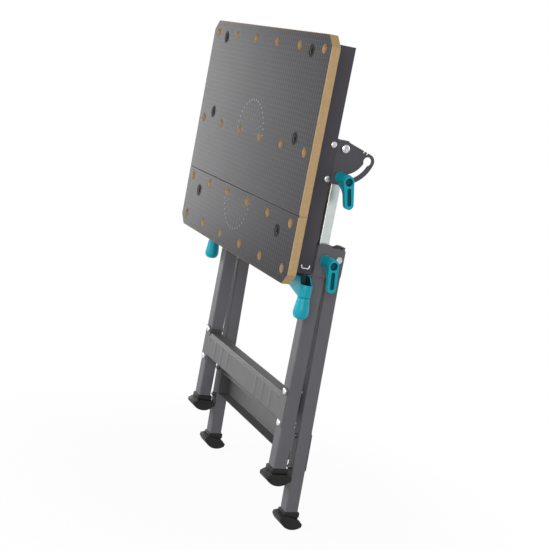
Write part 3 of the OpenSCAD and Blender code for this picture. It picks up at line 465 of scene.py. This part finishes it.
def printed_board():
    board = Finish("printed fibreboard").places()
    mm_x, mm_z = board.x / MM, (board.z - edge_z) / MM
    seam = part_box("rear_jaw")[0].z
    at_seam = board.z.near(seam, 3 * MM, 0.5 * MM)
    chamfer = 1.1 * MM
    on_face = board.y < face_y + 0.05 * MM + chamfer * at_seam
    fibre = board.noise(420.0, 4.0, (0.35, 1, 0.35))
    tan = board.mix(fibre, srgb(156, 128, 90), srgb(196, 169, 129))
    lines = mm_z.wrapped(GRID).near(GRID / 2, 0.35, 0.4)
    bars = mm_x.wrapped(GRID).near(GRID / 2, 1.2, 0.8)
    grid = (0.45 * lines).larger(0.4 * bars)
    base = board.mix(board.noise(9.0, 2.0), srgb(38, 37, 40), srgb(45, 44, 47))
    # A band along the seam is painted lighter: painted light on the chamfers where the boards meet.
    print_and_painted_light = board.mix(grid.larger(0.3 * at_seam), base, srgb(86, 85, 87))
    # Round each screw the board is pressed into a dish with no faces here: a darker disc paints its
    # shade, and it is rougher than the print.
    dish = board.fade(screw_dishes(mm_x, mm_z), 15, 11)
    print_and_painted_light = board.mix(dish * 0.5, print_and_painted_light, srgb(24, 24, 26))
    marks = angle_marks(board, mm_x, mm_z, UPPER_MARKS_Z, True).larger(
        angle_marks(board, mm_x, mm_z, LOWER_MARKS_Z, False))
    print_and_painted_light = board.mix(marks * 0.5, print_and_painted_light, srgb(180, 172, 176))
    skin = board.noise(500.0, 2.0)
    return board.surface(color=board.mix(on_face, tan, print_and_painted_light),
                         roughness=0.72 - 0.42 * on_face * (1 - dish), specular=0.03,
                         normal=board.bump(fibre * (1 - on_face) + 0.3 * skin, 0.1 * MM, 0.5))


board_finish = printed_board()

# %% [markdown]
# Each CAD node now gets its finish. A table from finish to node names keeps the choice in one
# place, and the script says which nodes it dressed.

# %% Dress the CAD nodes
finishes = {
    board_finish: ["front_jaw", "rear_jaw"],
    dark_steel: pair("rail"),
    quadrant_steel: pair("quadrant") + ["pivot_plates"],
    grey_steel: pair("carrier") + pair("front_leg") + pair("leg_plates") + pair("rear_leg"),
    tread_steel: ["rear_tread"],
    light_steel: ["front_tread"],
    drawn_zinc: pair("height_tube"),
    thread: pair("spindle"),
    zinc: pair("crank_pin")
    + ["bearing_clips", "spindle_nuts", "pivot_crossbar", "pivot_spacers", "tilt_bolts",
       "tilt_washers", "height_screws", "front_tread_bolts"],
    screw_zinc: ["quadrant_screws", "pivot_bolts", "fold_bolts"],
    zinc_in_painted_shade: ["fold_nuts", "front_tread_nuts", "rear_tread_bolts", "rear_tread_nuts"],
    screw_black: ["front_jaw_screws", "rear_jaw_screws"],
    teal: pair("crank") + pair("crank_grip") + pair("tilt_lever") + pair("height_lever"),
    black: pair("front_foot") + pair("rear_foot")
    + ["spindle_bearings", "height_tube_plugs", "height_tube_shoes", "guide_bushes",
       "rear_leg_caps"],
}
for finish, names in finishes.items():
    for name in names:
        mesh = frame["nodes"][name].data
        mesh.materials.clear()
        mesh.materials.append(finish)
dressed = sum(len(names) for names in finishes.values())
print(dressed, "of", len(frame["nodes"]), "nodes dressed")

# %% [markdown]
# The solid pieces are made the way a workshop would: a primitive at its size, joined to others
# or cut by them, and its edges broken at the end. Each piece is drawn in millimetres about its
# own origin, with its bolt or axle along an axis, and only then taken to its place. After every
# primitive the scale goes into the mesh, so later tools work in true sizes.


# %% Primitives
def pick(piece, *others):
    """Makes these the only selected objects, the first one active."""
    bpy.ops.object.select_all(action="DESELECT")
    for one in (piece, *others):
        one.select_set(True)
    bpy.context.view_layer.objects.active = piece


def settled(name):
    """The new primitive under its name, its place and size moved into its mesh."""
    piece = bpy.context.object
    piece.name = name
    bpy.ops.object.transform_apply(location=True, rotation=True, scale=True)
    return piece


def block(name, low, high):
    """Box between two corners, in millimetres."""
    bpy.ops.object.select_all(action="DESELECT")
    low, high = Vector(low) * MM, Vector(high) * MM
    bpy.ops.mesh.primitive_cube_add(size=1, location=(low + high) / 2, scale=high - low)
    return settled(name)


def rod(name, start, end, radius, sides=48):
    """Round bar between two points, in millimetres."""
    bpy.ops.object.select_all(action="DESELECT")
    start, end = Vector(start) * MM, Vector(end) * MM
    along = end - start
    bpy.ops.mesh.primitive_cylinder_add(
        vertices=sides, radius=radius * MM, depth=along.length, location=(start + end) / 2,
        rotation=along.to_track_quat("Z", "Y").to_euler())
    return settled(name)


# %% [markdown]
# A turned piece starts as a disc, which is extruded along its axis and resized at every step of
# its outline. The steps are pairs of a height and a radius.


# %% Turned pieces
def turned(name, steps, sides=48):
    """Solid about the Z axis through steps of (height, radius), in millimetres."""
    bpy.ops.object.select_all(action="DESELECT")
    height, radius = steps[0]
    bpy.ops.mesh.primitive_circle_add(vertices=sides, radius=radius * MM, fill_type="NGON",
                                      location=(0, 0, height * MM))
    piece = settled(name)
    bpy.ops.object.mode_set(mode="EDIT")
    bpy.ops.mesh.select_all(action="SELECT")
    for next_height, next_radius in steps[1:]:
        rise = (next_height - height) * MM
        bpy.ops.mesh.extrude_region_move(TRANSFORM_OT_translate={"value": (0, 0, rise)})
        bpy.ops.transform.resize(value=(next_radius / radius, next_radius / radius, 1),
                                 center_override=(0, 0, next_height * MM))
        height, radius = next_height, next_radius
    bpy.ops.mesh.select_all(action="SELECT")
    bpy.ops.mesh.normals_make_consistent(inside=False)
    bpy.ops.object.mode_set(mode="OBJECT")
    return piece


# %% [markdown]
# Two solids become one, or one cuts the other, through a Boolean modifier that is applied at
# once. A plate with round ends is the hull of two short bars. Breaking the edges comes last: the
# flat faces are merged first, so that the bevel meets only real edges.


# %% Joining, cutting and breaking edges
def apply(piece, kind, **settings):
    """Adds a modifier to a piece and applies it."""
    pick(piece)
    step = piece.modifiers.new("step", kind)
    for key, value in settings.items():
        setattr(step, key, value)
    bpy.ops.object.modifier_apply(modifier="step")


def combine(piece, operation, tools):
    for tool in tools:
        apply(piece, "BOOLEAN", operation=operation, object=tool, solver="EXACT")
        bpy.data.objects.remove(tool)
    return piece


def add(piece, *tools):
    return combine(piece, "UNION", tools)


def cut(piece, *tools):
    return combine(piece, "DIFFERENCE", tools)


def keep(piece, *tools):
    return combine(piece, "INTERSECT", tools)


def hull(piece, *others):
    """The tight skin round several solids."""
    pick(piece, *others)
    if others:
        bpy.ops.object.join()
    bpy.ops.object.mode_set(mode="EDIT")
    bpy.ops.mesh.select_all(action="SELECT")
    bpy.ops.mesh.convex_hull()
    bpy.ops.object.mode_set(mode="OBJECT")
    return piece


def broken(piece, width, segments=3, angle=30):
    """The piece with its edges rounded to a width, in millimetres."""
    pick(piece)
    bpy.ops.object.mode_set(mode="EDIT")
    bpy.ops.mesh.select_all(action="SELECT")
    bpy.ops.mesh.remove_doubles(threshold=0.01 * MM)
    bpy.ops.mesh.dissolve_limited(angle_limit=math.radians(0.5))
    bpy.ops.object.mode_set(mode="OBJECT")
    apply(piece, "BEVEL", width=width * MM, segments=segments, limit_method="ANGLE",
          angle_limit=math.radians(angle))
    return piece


# %% [markdown]
# A finished piece is copied for every place where the bench has one. The copy's mesh is moved,
# not the object, so each object stays at the origin like a CAD node, and a pattern on object
# coordinates stays still. A left-hand copy is mirrored, which turns its faces inside out, so
# they are flipped back.


# %% Placing and fitting
def copy_to(piece, place, turns=(), side=1):
    """Copy whose mesh is turned, each turn an (angle, axis), then moved and put on its side."""
    copy = piece.copy()
    copy.data = piece.data.copy()
    bpy.context.scene.collection.objects.link(copy)
    matrix = Matrix.Translation(place)
    for angle, axis in turns:
        matrix = matrix @ Matrix.Rotation(math.radians(angle), 4, axis)
    copy.data.transform(matrix)
    if side < 0:
        copy.data.transform(Matrix.Diagonal((-1, 1, 1, 1)))
        copy.data.flip_normals()
    return copy


def together(name, copies):
    """One object from several copies."""
    first, *others = copies
    if others:
        pick(first, *others)
        bpy.ops.object.join()
    first.name = name
    return first


def fit(piece, finish, slot, body, *nodes):
    """Gives a piece its finish and its body, and hides the CAD nodes that it stands for."""
    pick(piece)
    bpy.ops.object.shade_smooth_by_angle(angle=math.radians(32))
    piece.data.materials.clear()
    piece.data.materials.append(finish)
    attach(piece, body)
    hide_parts(*nodes)
    print(piece.name, len(piece.data.polygons), "faces for", ", ".join(nodes))


def scrap(*patterns):
    """Takes away pieces that were only modelled to be copied."""
    for pattern in patterns:
        bpy.data.objects.remove(pattern)


# %% [markdown]
# A clamp lever is one moulding: a long hub that screws onto its bolt, an arm across the hub's
# outer end, and a deep web where the two meet. The arm narrows towards its tip, so it is the
# hull of a larger and a smaller disc. A round recess hides the bolt's end, and a long slot
# lightens the arm. All four levers are the same, and lean back by their own angles.

# %% Clamp levers
HUB_R, TIP_R = 11, 9.5
# Where the cutters end, past the arm's outer face.
PAST = LEVER_REACH + 7
lever = hull(rod("lever", (ARM_IN, 0, HEAD_Z), (LEVER_REACH, 0, HEAD_Z), HUB_R),
             rod("tip", (ARM_IN, 0, TIP_Z), (LEVER_REACH, 0, TIP_Z), TIP_R))
web = cut(block("web", (9.5, -9.2, -36), (ARM_IN + 1, 9.2, -3)),
          rod("web hollow", (8, -20, -37.5), (8, 20, -37.5), 25))
add(lever, rod("hub", (0, 0, 0), (ARM_IN + 3, 0, 0), HUB_R),
    rod("skirt", (0, 0, 0), (3, 0, 0), HUB_R + 0.5), web)
cut(lever, rod("recess", (31, 0, RECESS_Z), (PAST, 0, RECESS_Z), RECESS_R),
    hull(rod("slot", (36, 0, SLOT_Z[0]), (PAST, 0, SLOT_Z[0]), SLOT_R),
         rod("slot end", (36, 0, SLOT_Z[1]), (PAST, 0, SLOT_Z[1]), SLOT_R)))
broken(lever, 1.3)
for kind, joint, lean in LEVERS:
    for side, sign in SIDES.items():
        hinge = axis_of(joint + "_right")
        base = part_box(kind + "_right")[0].x
        name = kind + "_" + side
        piece = copy_to(lever, (base, hinge.y, hinge.z), [(lean, "X")], sign)
        piece.name = "moulded_" + name
        fit(piece, teal, "teal_plastic", name, name)
scrap(lever)

# %% [markdown]
# A crank is moulded round its spindle. Its arm is a bar with round ends, cut off along a slope
# below. Above, it slopes down before it reaches under the front board, and a pocket with a round
# end opens there. The grip's axle stands on the pocket's floor.

# %% Crank arms
crank = hull(rod("crank", (0, 0, CRANK_DROP), (0, 0, CRANK_TOP), CRANK_HALF),
             rod("outer end", (CRANK_R, 0, CRANK_DROP), (CRANK_R, 0, CRANK_TOP), CRANK_HALF))
pick(crank)
bpy.ops.object.mode_set(mode="EDIT")
bpy.ops.mesh.select_all(action="SELECT")
slope = Vector((HUB_Z - CRANK_DROP, 0, CRANK_R)).normalized()
bpy.ops.mesh.bisect(plane_co=Vector((0, 0, HUB_Z)) * MM, plane_no=slope, use_fill=True,
                    clear_inner=True)
bpy.ops.mesh.select_all(action="SELECT")
bpy.ops.mesh.normals_make_consistent(inside=False)
bpy.ops.object.mode_set(mode="OBJECT")
lid = hull(block("lid", (33, -20, CRANK_TOP - 0.01), (34, 20, 20)),
           block("lid end", (44, -20, -0.5), (70, 20, 20)))
cut(crank, lid)
add(crank, rod("hub", (0, 0, HUB_Z), (0, 0, CRANK_TOP), CRANK_HALF),
    rod("boss", (0, 0, 0), (0, 0, 13.9), 9.5))
pocket = add(block("pocket", (POCKET_IN, -POCKET_HALF, POCKET_Z), (CRANK_R, POCKET_HALF, 30)),
             rod("pocket end", (CRANK_R, 0, POCKET_Z), (CRANK_R, 0, 30), POCKET_HALF))
cut(crank, pocket, rod("axle hole", (CRANK_R, 0, -40), (CRANK_R, 0, 0), 4),
    rod("bore", (0, 0, -10.5), (0, 0, 30), 6.1))
broken(crank, 1.0)
for side, sign in SIDES.items():
    turn = LEFT_TURN if side == "left" else 0
    name = "crank_" + side
    piece = copy_to(crank, at(SIDE_X, SPINDLE_Y, 0), [(turn, "Z")], sign)
    piece.name = "moulded_" + name
    fit(piece, teal, "teal_plastic", name, name)
scrap(crank)

# %% [markdown]
# The grip is turned in outline: narrow under the arm, fullest two thirds of the way down, and
# well rounded at its end. A thin groove under its top edge throws the dark line that parts it
# from the arm.

# %% Grips
GRIP_TOP, GRIP_LEN, GRIP_R = -25.5, 45, 16
# Each step as its share of the grip's length and of its largest radius.
grip_shares = ((0, 0.6), (0.036, 0.6), (0.037, 0.76), (0.05, 0.79), (0.08, 0.81), (0.14, 0.835),
               (0.28, 0.88), (0.42, 0.935), (0.55, 0.98), (0.66, 1.0), (0.75, 0.985), (0.83, 0.93),
               (0.89, 0.85), (0.94, 0.73), (0.975, 0.57), (0.993, 0.38), (1.0, 0.16))
grip = turned("grip", [(GRIP_TOP - down * GRIP_LEN, wide * GRIP_R) for down, wide in grip_shares])
cut(grip, rod("axle bore", (0, 0, -62), (0, 0, 0), 4.1))
for side, sign in SIDES.items():
    turn = LEFT_TURN if side == "left" else 0
    arm = Matrix.Rotation(math.radians(turn), 3, "Z") @ Vector((CRANK_R * MM, 0, 0))
    piece = copy_to(grip, at(SIDE_X, SPINDLE_Y, 0) + arm, side=sign)
    piece.name = "turned_crank_grip_" + side
    fit(piece, teal, "teal_plastic", "grip_" + side, "crank_grip_" + side)
scrap(grip)

# %% [markdown]
# Each foot is a collar round the leg over a sole that rocks on a large round. The sole and its
# shoulders are the hull of a slice of a wide bar and two slabs. A shadow line runs round between
# the two, and grooves across the sole grip the floor. The rear soles are turned on their legs, so
# that they stand flat when the legs are open.

# %% Feet
SOLE_W, SOLE_L, SOLE_RISE, SOLE_DROP, COLLAR_H = 54, 42, 13, 18, 18
COLLAR_WALL, GROOVE_STEP, GROOVE_END = 3, 9, 3
sole_r = ((SOLE_W / 2) ** 2 + SOLE_RISE ** 2) / (2 * SOLE_RISE)


def sole(name):
    """Round sole with its shoulders, about the end of the leg."""
    half, wide = SOLE_L / 2, SOLE_W / 2
    tip = SOLE_RISE - SOLE_DROP
    centre = sole_r - SOLE_DROP
    arc = keep(rod(name, (-half, 0, centre), (half, 0, centre), sole_r, 160),
               block("slice", (-half - 1, -wide, -SOLE_DROP - 1), (half + 1, wide, tip + 0.1)))
    body = hull(arc, block("edge", (-half, -wide, tip), (half, wide, tip + 6)),
                block("shoulder", (-half, -17, 5), (half, 17, 7)))
    for groove in range(-2, 3):
        y = GROOVE_STEP * groove
        z = centre - math.sqrt(sole_r ** 2 - y ** 2)
        cut(body, block("groove", (GROOVE_END - half, y - 1, z - 2),
                        (half - GROOVE_END, y + 1, z + 1.2)))
    return broken(body, 1.2)


def foot(name, leg, turn):
    """Foot for a leg of this width, its sole turned by an angle."""
    wide = leg / 2 + COLLAR_WALL
    base = sole(name)
    base.data.transform(Matrix.Rotation(math.radians(turn), 4, "X"))
    collar = broken(block("collar", (-wide, -wide, 6.4), (wide, wide, COLLAR_H)), 2.2)
    neck = broken(block("neck", (-wide + 1.5, -wide + 1.5, -4), (wide - 1.5, wide - 1.5, 10)), 2)
    add(base, neck, collar)
    return cut(base, block("leg", (-leg / 2, -leg / 2, 0), (leg / 2, leg / 2, 40)))


LEAN, FOLD = 1.4, axis_of("rear_leg_fold")
REAR_LEG = 558.47
rear_end = FOLD + Matrix.Rotation(math.radians(LEAN), 3, "X") @ Vector((0, 0, -REAR_LEG * MM))
front_end = at(0, LEG_Y, -413)
for kind, leg, turn, end, lean in (("front_foot", 30, 0, front_end, 0),
                                   ("rear_foot", 29, -18, rear_end, LEAN)):
    pattern = foot(kind, leg, turn)
    for side, sign in SIDES.items():
        place = Vector((SIDE_X * MM, end.y, end.z))
        piece = copy_to(pattern, place, [(lean, "X")], sign)
        piece.name = "moulded_" + kind + "_" + side
        fit(piece, black, "black_plastic", kind.replace("foot", "frame"), kind + "_" + side)
    scrap(pattern)

# %% [markdown]
# A tread is folded from one sheet. It starts as a flat strip whose long edges are extruded: a
# band that leans back above a crease, then a bend and a flange at the top, and a bend and a
# flange at the bottom. Solidify gives the sheet its thickness. The ends and the tabs beside the
# legs are added to it. The ribs are pressed, so each stands out in front and is a dent behind.


# %% Folded treads
# The crease, the flanges' depth, how far the band leans back, the rounds at the end plates'
# corners, and the bolts, all from the tread's middle.
CREASE_Z, FLANGE, LEAN_BACK = 18.5, 27, 2
CORNER_X, CORNER_Z, CORNER_R, TREAD_BOLT_Z = 7.5, 35.5, 6, 33.5
RIB_X = (88, 128, 172)
# The rear tread's middle above the rear legs' ends.
REAR_TREAD_UP = 147.5


def edge_at(piece, height):
    """Selects the edges of a sheet that lie at a height, in edit mode."""
    mesh = bmesh.from_edit_mesh(piece.data)
    bpy.ops.mesh.select_all(action="DESELECT")
    for edge in mesh.edges:
        edge.select = all(abs(v.co.z - height) < 0.01 * MM for v in edge.verts)
    bmesh.update_edit_mesh(piece.data)


def tread(name, leg):
    """Tread in front of two legs of this width, about the middle between the legs."""
    out, sheet, bend = -leg / 2 - 1.5, 1.5, 2.25
    mid = (out + sheet / 2) * MM
    inner = SIDE_X - leg / 2 - 0.5
    straight = TREAD_HALF - sheet / 2 - bend
    low, high, top = -straight * MM, CREASE_Z * MM, straight * MM
    bpy.ops.object.select_all(action="DESELECT")
    bpy.ops.mesh.primitive_plane_add(size=1, rotation=(math.radians(90), 0, 0))
    piece = settled(name)
    piece.data.transform(Matrix.Translation((0, mid, (low + high) / 2))
                         @ Matrix.Diagonal((2 * inner * MM, 1, high - low, 1)))
    bpy.ops.object.mode_set(mode="EDIT")
    edge_at(piece, high)
    bpy.ops.mesh.extrude_region_move(TRANSFORM_OT_translate={
        "value": (0, LEAN_BACK * MM, top - high)})
    flange = (FLANGE - sheet / 2 - bend) * MM
    for height, angle, lean in ((top, 90, LEAN_BACK * MM), (low, -90, 0)):
        edge_at(piece, height)
        bpy.ops.mesh.spin(steps=5, angle=math.radians(angle), axis=(1, 0, 0),
                          center=(0, mid + lean + bend * MM, height))
        bpy.ops.mesh.extrude_region_move(TRANSFORM_OT_translate={"value": (0, flange - lean, 0)})
    bpy.ops.mesh.select_all(action="SELECT")
    bpy.ops.mesh.remove_doubles(threshold=0.01 * MM)
    bpy.ops.mesh.normals_make_consistent(inside=False)
    bpy.ops.object.mode_set(mode="OBJECT")
    apply(piece, "SOLIDIFY", thickness=sheet * MM, offset=0, use_even_offset=True)
    back = out + sheet
    for sign in (1, -1):
        x = sign * SIDE_X
        ends = [rod("end", (x + dx, out, dz), (x + dx, back, dz), CORNER_R, 32)
                for dx in (-CORNER_X, CORNER_X) for dz in (-CORNER_Z, CORNER_Z)]
        low_x, high_x = sorted((sign * (inner - 1), x))
        link = block("link", (low_x, out, -TREAD_HALF), (high_x, back, CREASE_Z))
        low_x, high_x = sorted((sign * (inner - sheet), sign * inner))
        tab = block("tab", (low_x, back - 0.5, 0.1 - TREAD_HALF), (high_x, out + FLANGE, 37.5))
        add(piece, hull(*ends), link, tab)
        for rib in RIB_X:
            ends = [rod("rib", (sign * rib, out - proud, dz), (sign * rib, out + 0.8, dz), size, 24)
                    for dz in (-18, 13) for proud, size in ((0.05, 7), (1.1, 2))]
            add(piece, hull(*ends))
            ends = [rod("dent", (sign * rib, back - deep, dz), (sign * rib, back + 1, dz), size, 24)
                    for dz in (-18, 13) for deep, size in ((0.02, 7), (1.1, 2))]
            cut(piece, hull(*ends))
        dome = turned("rivet", [(0, 2.6), (0.7, 2.4), (1.3, 1.6), (1.5, 0.6)], 20)
        dome.data.transform(Matrix.Translation((sign * 212 * MM, (out + 0.4) * MM, 13 * MM))
                            @ Matrix.Rotation(math.radians(90), 4, "X"))
        add(piece, dome)
    return piece


front = tread("front tread", 30)
piece = copy_to(front, at(0, LEG_Y, FRONT_TREAD_Z))
piece.name = "folded_front_tread"
fit(piece, light_steel, "light_steel", "front_frame", "front_tread")
rear = tread("rear tread", 29)
rear_mid = FOLD + Matrix.Rotation(math.radians(LEAN), 3, "X") @ Vector(
    (0, 0, (REAR_TREAD_UP - REAR_LEG) * MM))
piece = copy_to(rear, rear_mid, [(LEAN, "X"), (180, "Z")])
piece.name = "folded_rear_tread"
fit(piece, tread_steel, "grey_steel", "rear_frame", "rear_tread")
scrap(front, rear)

# %% [markdown]
# Small fasteners catch the light, so their heads get their true forms. A bolt is drawn with its
# head above Z 0 and its shank below. A hexagon head is a six-sided bar kept inside a turned cone,
# which leaves the curved chamfer of a real one. A domed head is turned, and a socket or a cross
# is cut into it.


# %% Heads
def dome_head(name, radius, height):
    return turned(name, [(0, radius), (0.35 * height, radius), (0.7 * height, 0.9 * radius),
                         (0.92 * height, 0.66 * radius), (height, 0.36 * radius)])


def hex_head(name, across, height):
    corner = across / math.sqrt(3)
    return keep(rod(name, (0, 0, 0), (0, 0, height), corner, 6),
                turned("chamfer", [(-1, 1.1 * corner), (0.75 * height, 1.06 * corner),
                                   (height + 0.01, 0.87 * corner), (height + 1, 0.8 * corner)]))


def bolt(head, shank_r, length):
    """A head on its shank."""
    return add(head, rod("shank", (0, 0, -length), (0, 0, 0.5), shank_r, 24))


def turned_to(pattern, angle, axis):
    pattern.data.transform(Matrix.Rotation(math.radians(angle), 4, axis))
    return pattern


# %% [markdown]
# The tread bolts face forwards on the front legs, and backwards on the rear ones. Their patterns
# are turned once, then copied to the four places of each frame.

# %% Tread bolts
front_bolt = turned_to(bolt(dome_head("front bolt", 7, 3.4), 3, 38.5), 90, "X")
places = [at(SIDE_X, LEG_Y - 16.5, FRONT_TREAD_Z + dz) for dz in (-TREAD_BOLT_Z, TREAD_BOLT_Z)]
copies = [copy_to(front_bolt, place, side=sign) for place in places for sign in SIDES.values()]
fit(together("domed_front_tread_bolts", copies), zinc, "zinc", "front_frame", "front_tread_bolts")
rear_bolt = turned_to(bolt(dome_head("rear bolt", 7, 3.4), 3, 37.5), -90, "X")
copies = []
for dz in (-TREAD_BOLT_Z, TREAD_BOLT_Z):
    spot = Vector((0, 16 * MM, (REAR_TREAD_UP - REAR_LEG + dz) * MM))
    place = FOLD + Matrix.Rotation(math.radians(LEAN), 3, "X") @ spot
    place.x = SIDE_X * MM
    copies += [copy_to(rear_bolt, place, [(LEAN, "X")], sign) for sign in SIDES.values()]
fit(together("domed_rear_tread_bolts", copies), zinc_in_painted_shade, "zinc", "rear_frame", "rear_tread_bolts")
scrap(front_bolt, rear_bolt)

# %% [markdown]
# On the outer sides, a domed bolt with a hexagon socket holds the tilt pivot, four small domed
# screws hold each side's plates, and a hexagon bolt joins the legs.

# %% Side bolts
PIVOT_HEAD = 5.5
socket = rod("socket", (0, 0, 2.5), (0, 0, 9), 3.5, 6)
pivot = turned_to(bolt(cut(dome_head("pivot", 9, PIVOT_HEAD), socket), 5, 50), 90, "Y")
outer_end, tilt_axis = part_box("pivot_bolts")[1].x, axis_of("table_tilt")
place = Vector((outer_end - PIVOT_HEAD * MM, tilt_axis.y, tilt_axis.z))
copies = [copy_to(pivot, place, side=sign) for sign in SIDES.values()]
fit(together("socket_pivot_bolts", copies), screw_zinc, "zinc", "carriage", "pivot_bolts")
RAIL_OUT, RAIL_IN, SCREW_Y = 257, 217, 75.5
plate_screw = turned_to(bolt(dome_head("plate screw", 6.5, 3), 3, 5), 90, "Y")
copies = []
for sign in SIDES.values():
    for dz in (4.5, -63.5):
        copies.append(copy_to(plate_screw, at(RAIL_OUT, SCREW_Y, PIVOT_Z + dz), side=sign))
    for dz in (4.5, -24):
        spot = at(RAIL_IN, SCREW_Y, PIVOT_Z + dz)
        copies.append(copy_to(plate_screw, spot, [(180, "Z")], sign))
fit(together("domed_quadrant_screws", copies), screw_zinc, "zinc", "table", "quadrant_screws")
leg_bolt = turned_to(bolt(hex_head("leg bolt", 13, 5.5), 4, 44), 90, "Y")
copies = [copy_to(leg_bolt, (255 * MM, FOLD.y, FOLD.z), side=sign) for sign in SIDES.values()]
fit(together("hexagon_fold_bolts", copies), screw_zinc, "zinc", "front_frame", "fold_bolts")
scrap(pivot, plate_screw, leg_bolt)

# %% [markdown]
# The board's screws are countersunk, a little below the face, with a cross recess. Each ends in
# its nut behind the steel.


# %% Board screws
def board_screw(name, back):
    """Screw along +Y from the board's face, its nut ending at back."""
    head = turned(name, [(-0.45, 6.1), (-0.6, 6.45), (-0.9, 6.45), (-4.3, 3.0), (-back, 3.0)])
    for across in ((5.4, 1.3), (1.3, 5.4)):
        cut(head, block("cross", (-across[0] / 2, -across[1] / 2, -2.6),
                        (across[0] / 2, across[1] / 2, 1)))
    nut = rod("nut", (0, 0, -back), (0, 0, -back + 5), 10 / math.sqrt(3), 6)
    return turned_to(add(head, nut), 90, "X")


for jaw, back, body in (("front_jaw", 25, "table"), ("rear_jaw", 27.8, "rear_jaw")):
    screw = board_screw("board screw", back)
    copies = [copy_to(screw, at(SIDE_X, 0, z), side=sign)
              for z in SCREW_Z[jaw] for sign in SIDES.values()]
    fit(together("cross_" + jaw + "_screws", copies), screw_black, "zinc", body, jaw + "_screws")
    scrap(screw)

# %% [markdown]
# A wire clip holds each bearing block in its rail. The wire is a curve with a round section. Its
# corners are quarter circles, worked out from the corner's middle, and the curve becomes a mesh
# at the end.


# %% Wire clips
def wire_clip():
    """Clip round the spindle's height: in through the rail, down, along and up again."""
    outer, y0, half, high, low_z = 258.5, 66, 8.5, 33.5, 27
    corners = [(243, -half, high), (outer, -half, high), (outer, -half, low_z),
               (outer, half, low_z), (outer, half, high), (243, half, high)]
    corners = [Vector(c) for c in corners]
    radii = (1.6, 3.2, 3.2, 1.6)
    path = [corners[0]]
    for before, corner, after, radius in zip(corners, corners[1:], corners[2:], radii):
        back, on = (before - corner).normalized(), (after - corner).normalized()
        centre = corner + radius * (back + on)
        for step in range(7):
            turn = math.radians(15 * step)
            path.append(centre - radius * (on * math.cos(turn) + back * math.sin(turn)))
    path.append(corners[-1])
    curve = bpy.data.curves.new("clip", "CURVE")
    curve.dimensions, curve.bevel_depth, curve.bevel_resolution = "3D", 1.5 * MM, 4
    curve.use_fill_caps = True
    spline = curve.splines.new("POLY")
    spline.points.add(len(path) - 1)
    for point, spot in zip(spline.points, path):
        point.co = (*at(spot.x, y0 + spot.y, spot.z), 1)
    clip = bpy.data.objects.new("clip", curve)
    bpy.context.scene.collection.objects.link(clip)
    pick(clip)
    bpy.ops.object.convert(target="MESH")
    clip = bpy.context.object
    bpy.ops.object.mode_set(mode="EDIT")
    bpy.ops.mesh.select_all(action="SELECT")
    bpy.ops.mesh.remove_doubles(threshold=0.01 * MM)
    bpy.ops.mesh.normals_make_consistent(inside=False)
    bpy.ops.object.mode_set(mode="OBJECT")
    return clip


clip = wire_clip()
copies = [copy_to(clip, (0, 0, 0), side=sign) for sign in SIDES.values()]
fit(together("bent_bearing_clips", copies), zinc, "zinc", "table", "bearing_clips")
scrap(clip)

# %% [markdown]
# The floor is plain and pale. A ray straight from the camera, or one mirrored by the bright
# metal, sees it as white, and every other ray sees an ordinary pale floor. Close to the feet the
# camera sees a little of the ordinary floor too, which keeps the bench's soft shadow there.


# %% Floor and world
def white_to_camera(place, plain, white, share):
    """Shader that is white to the camera and to mirrored rays, and plain to all other light."""
    rays = place.node("ShaderNodeLightPath")
    outs = rays.socket.node.outputs
    seen = Value(place, outs["Is Camera Ray"]).larger(Value(place, outs["Is Glossy Ray"]))
    return place.node("ShaderNodeMixShader", {}, {0: seen * share, 1: plain, 2: white})


bpy.ops.object.select_all(action="DESELECT")
bpy.ops.mesh.primitive_plane_add(size=40, location=(0, 0, cad_bounds[0][2] - 0.0005))
floor = bpy.context.object
floor.name = "floor"
pale = Finish("pale floor").places()
# The share of white under the bench, which rises to all white as the squared distance grows.
near_share = 0.95
away = pale.x * pale.x + pale.y * pale.y
share = pale.fade(away, 0.05, 0.5) * (1 - near_share) + near_share
matt = pale.node("ShaderNodeBsdfDiffuse", {}, {"Color": (0.55, 0.55, 0.55)})
glow = pale.node("ShaderNodeEmission", {}, {"Color": (1.0, 1.0, 1.0), "Strength": 1.0})
pale.node("ShaderNodeOutputMaterial", {}, {"Surface": white_to_camera(pale, matt, glow, share)})
floor.data.materials.append(pale.material)

world = bpy.data.worlds.new("studio")
bpy.context.scene.world = world
world.use_nodes = True
studio = Finish("studio", world.node_tree)
sky = studio.node("ShaderNodeBackground", {}, {"Color": (0.96, 0.98, 1.0), "Strength": 0.3})
white = studio.node("ShaderNodeBackground", {}, {"Color": (1.0, 1.0, 1.0), "Strength": 1.0})
studio.node("ShaderNodeOutputWorld", {}, {"Surface": white_to_camera(studio, sky, white, 1.0)})
print("floor at z", round(floor.location.z, 4))

# %% [markdown]
# A soft key lamp stands in front. A low one far to the left mirrors in the boards, which makes
# them lighter towards their left end, as in the photo. A fill from the right lights the sides of
# the legs and the levers, and a lamp behind keeps the back from going dark.


# %% Lamps
def soft_lamp(name, place, target, size, power):
    data = bpy.data.lights.new(name, "AREA")
    data.size, data.energy = size, power
    lamp = bpy.data.objects.new(name, data)
    bpy.context.scene.collection.objects.link(lamp)
    lamp.location = place
    lamp.rotation_euler = (Vector(target) - Vector(place)).to_track_quat("-Z", "Y").to_euler()
    print(name, "lamp", power, "W")


bench_middle = (0, 0, 0.6)
soft_lamp("key", (-0.5, -2.1, 1.2), bench_middle, 1.3, 40)
soft_lamp("left", (-3.3, -0.6, 0.6), (0, 0, 0.7), 1.2, 32)
soft_lamp("fill", (2.4, -1.1, 1.2), bench_middle, 1.4, 38)
soft_lamp("back", (0.6, 2.8, 1.6), bench_middle, 1.8, 30)

# %% Finish
bpy.context.scene.view_settings.view_transform = "Standard"
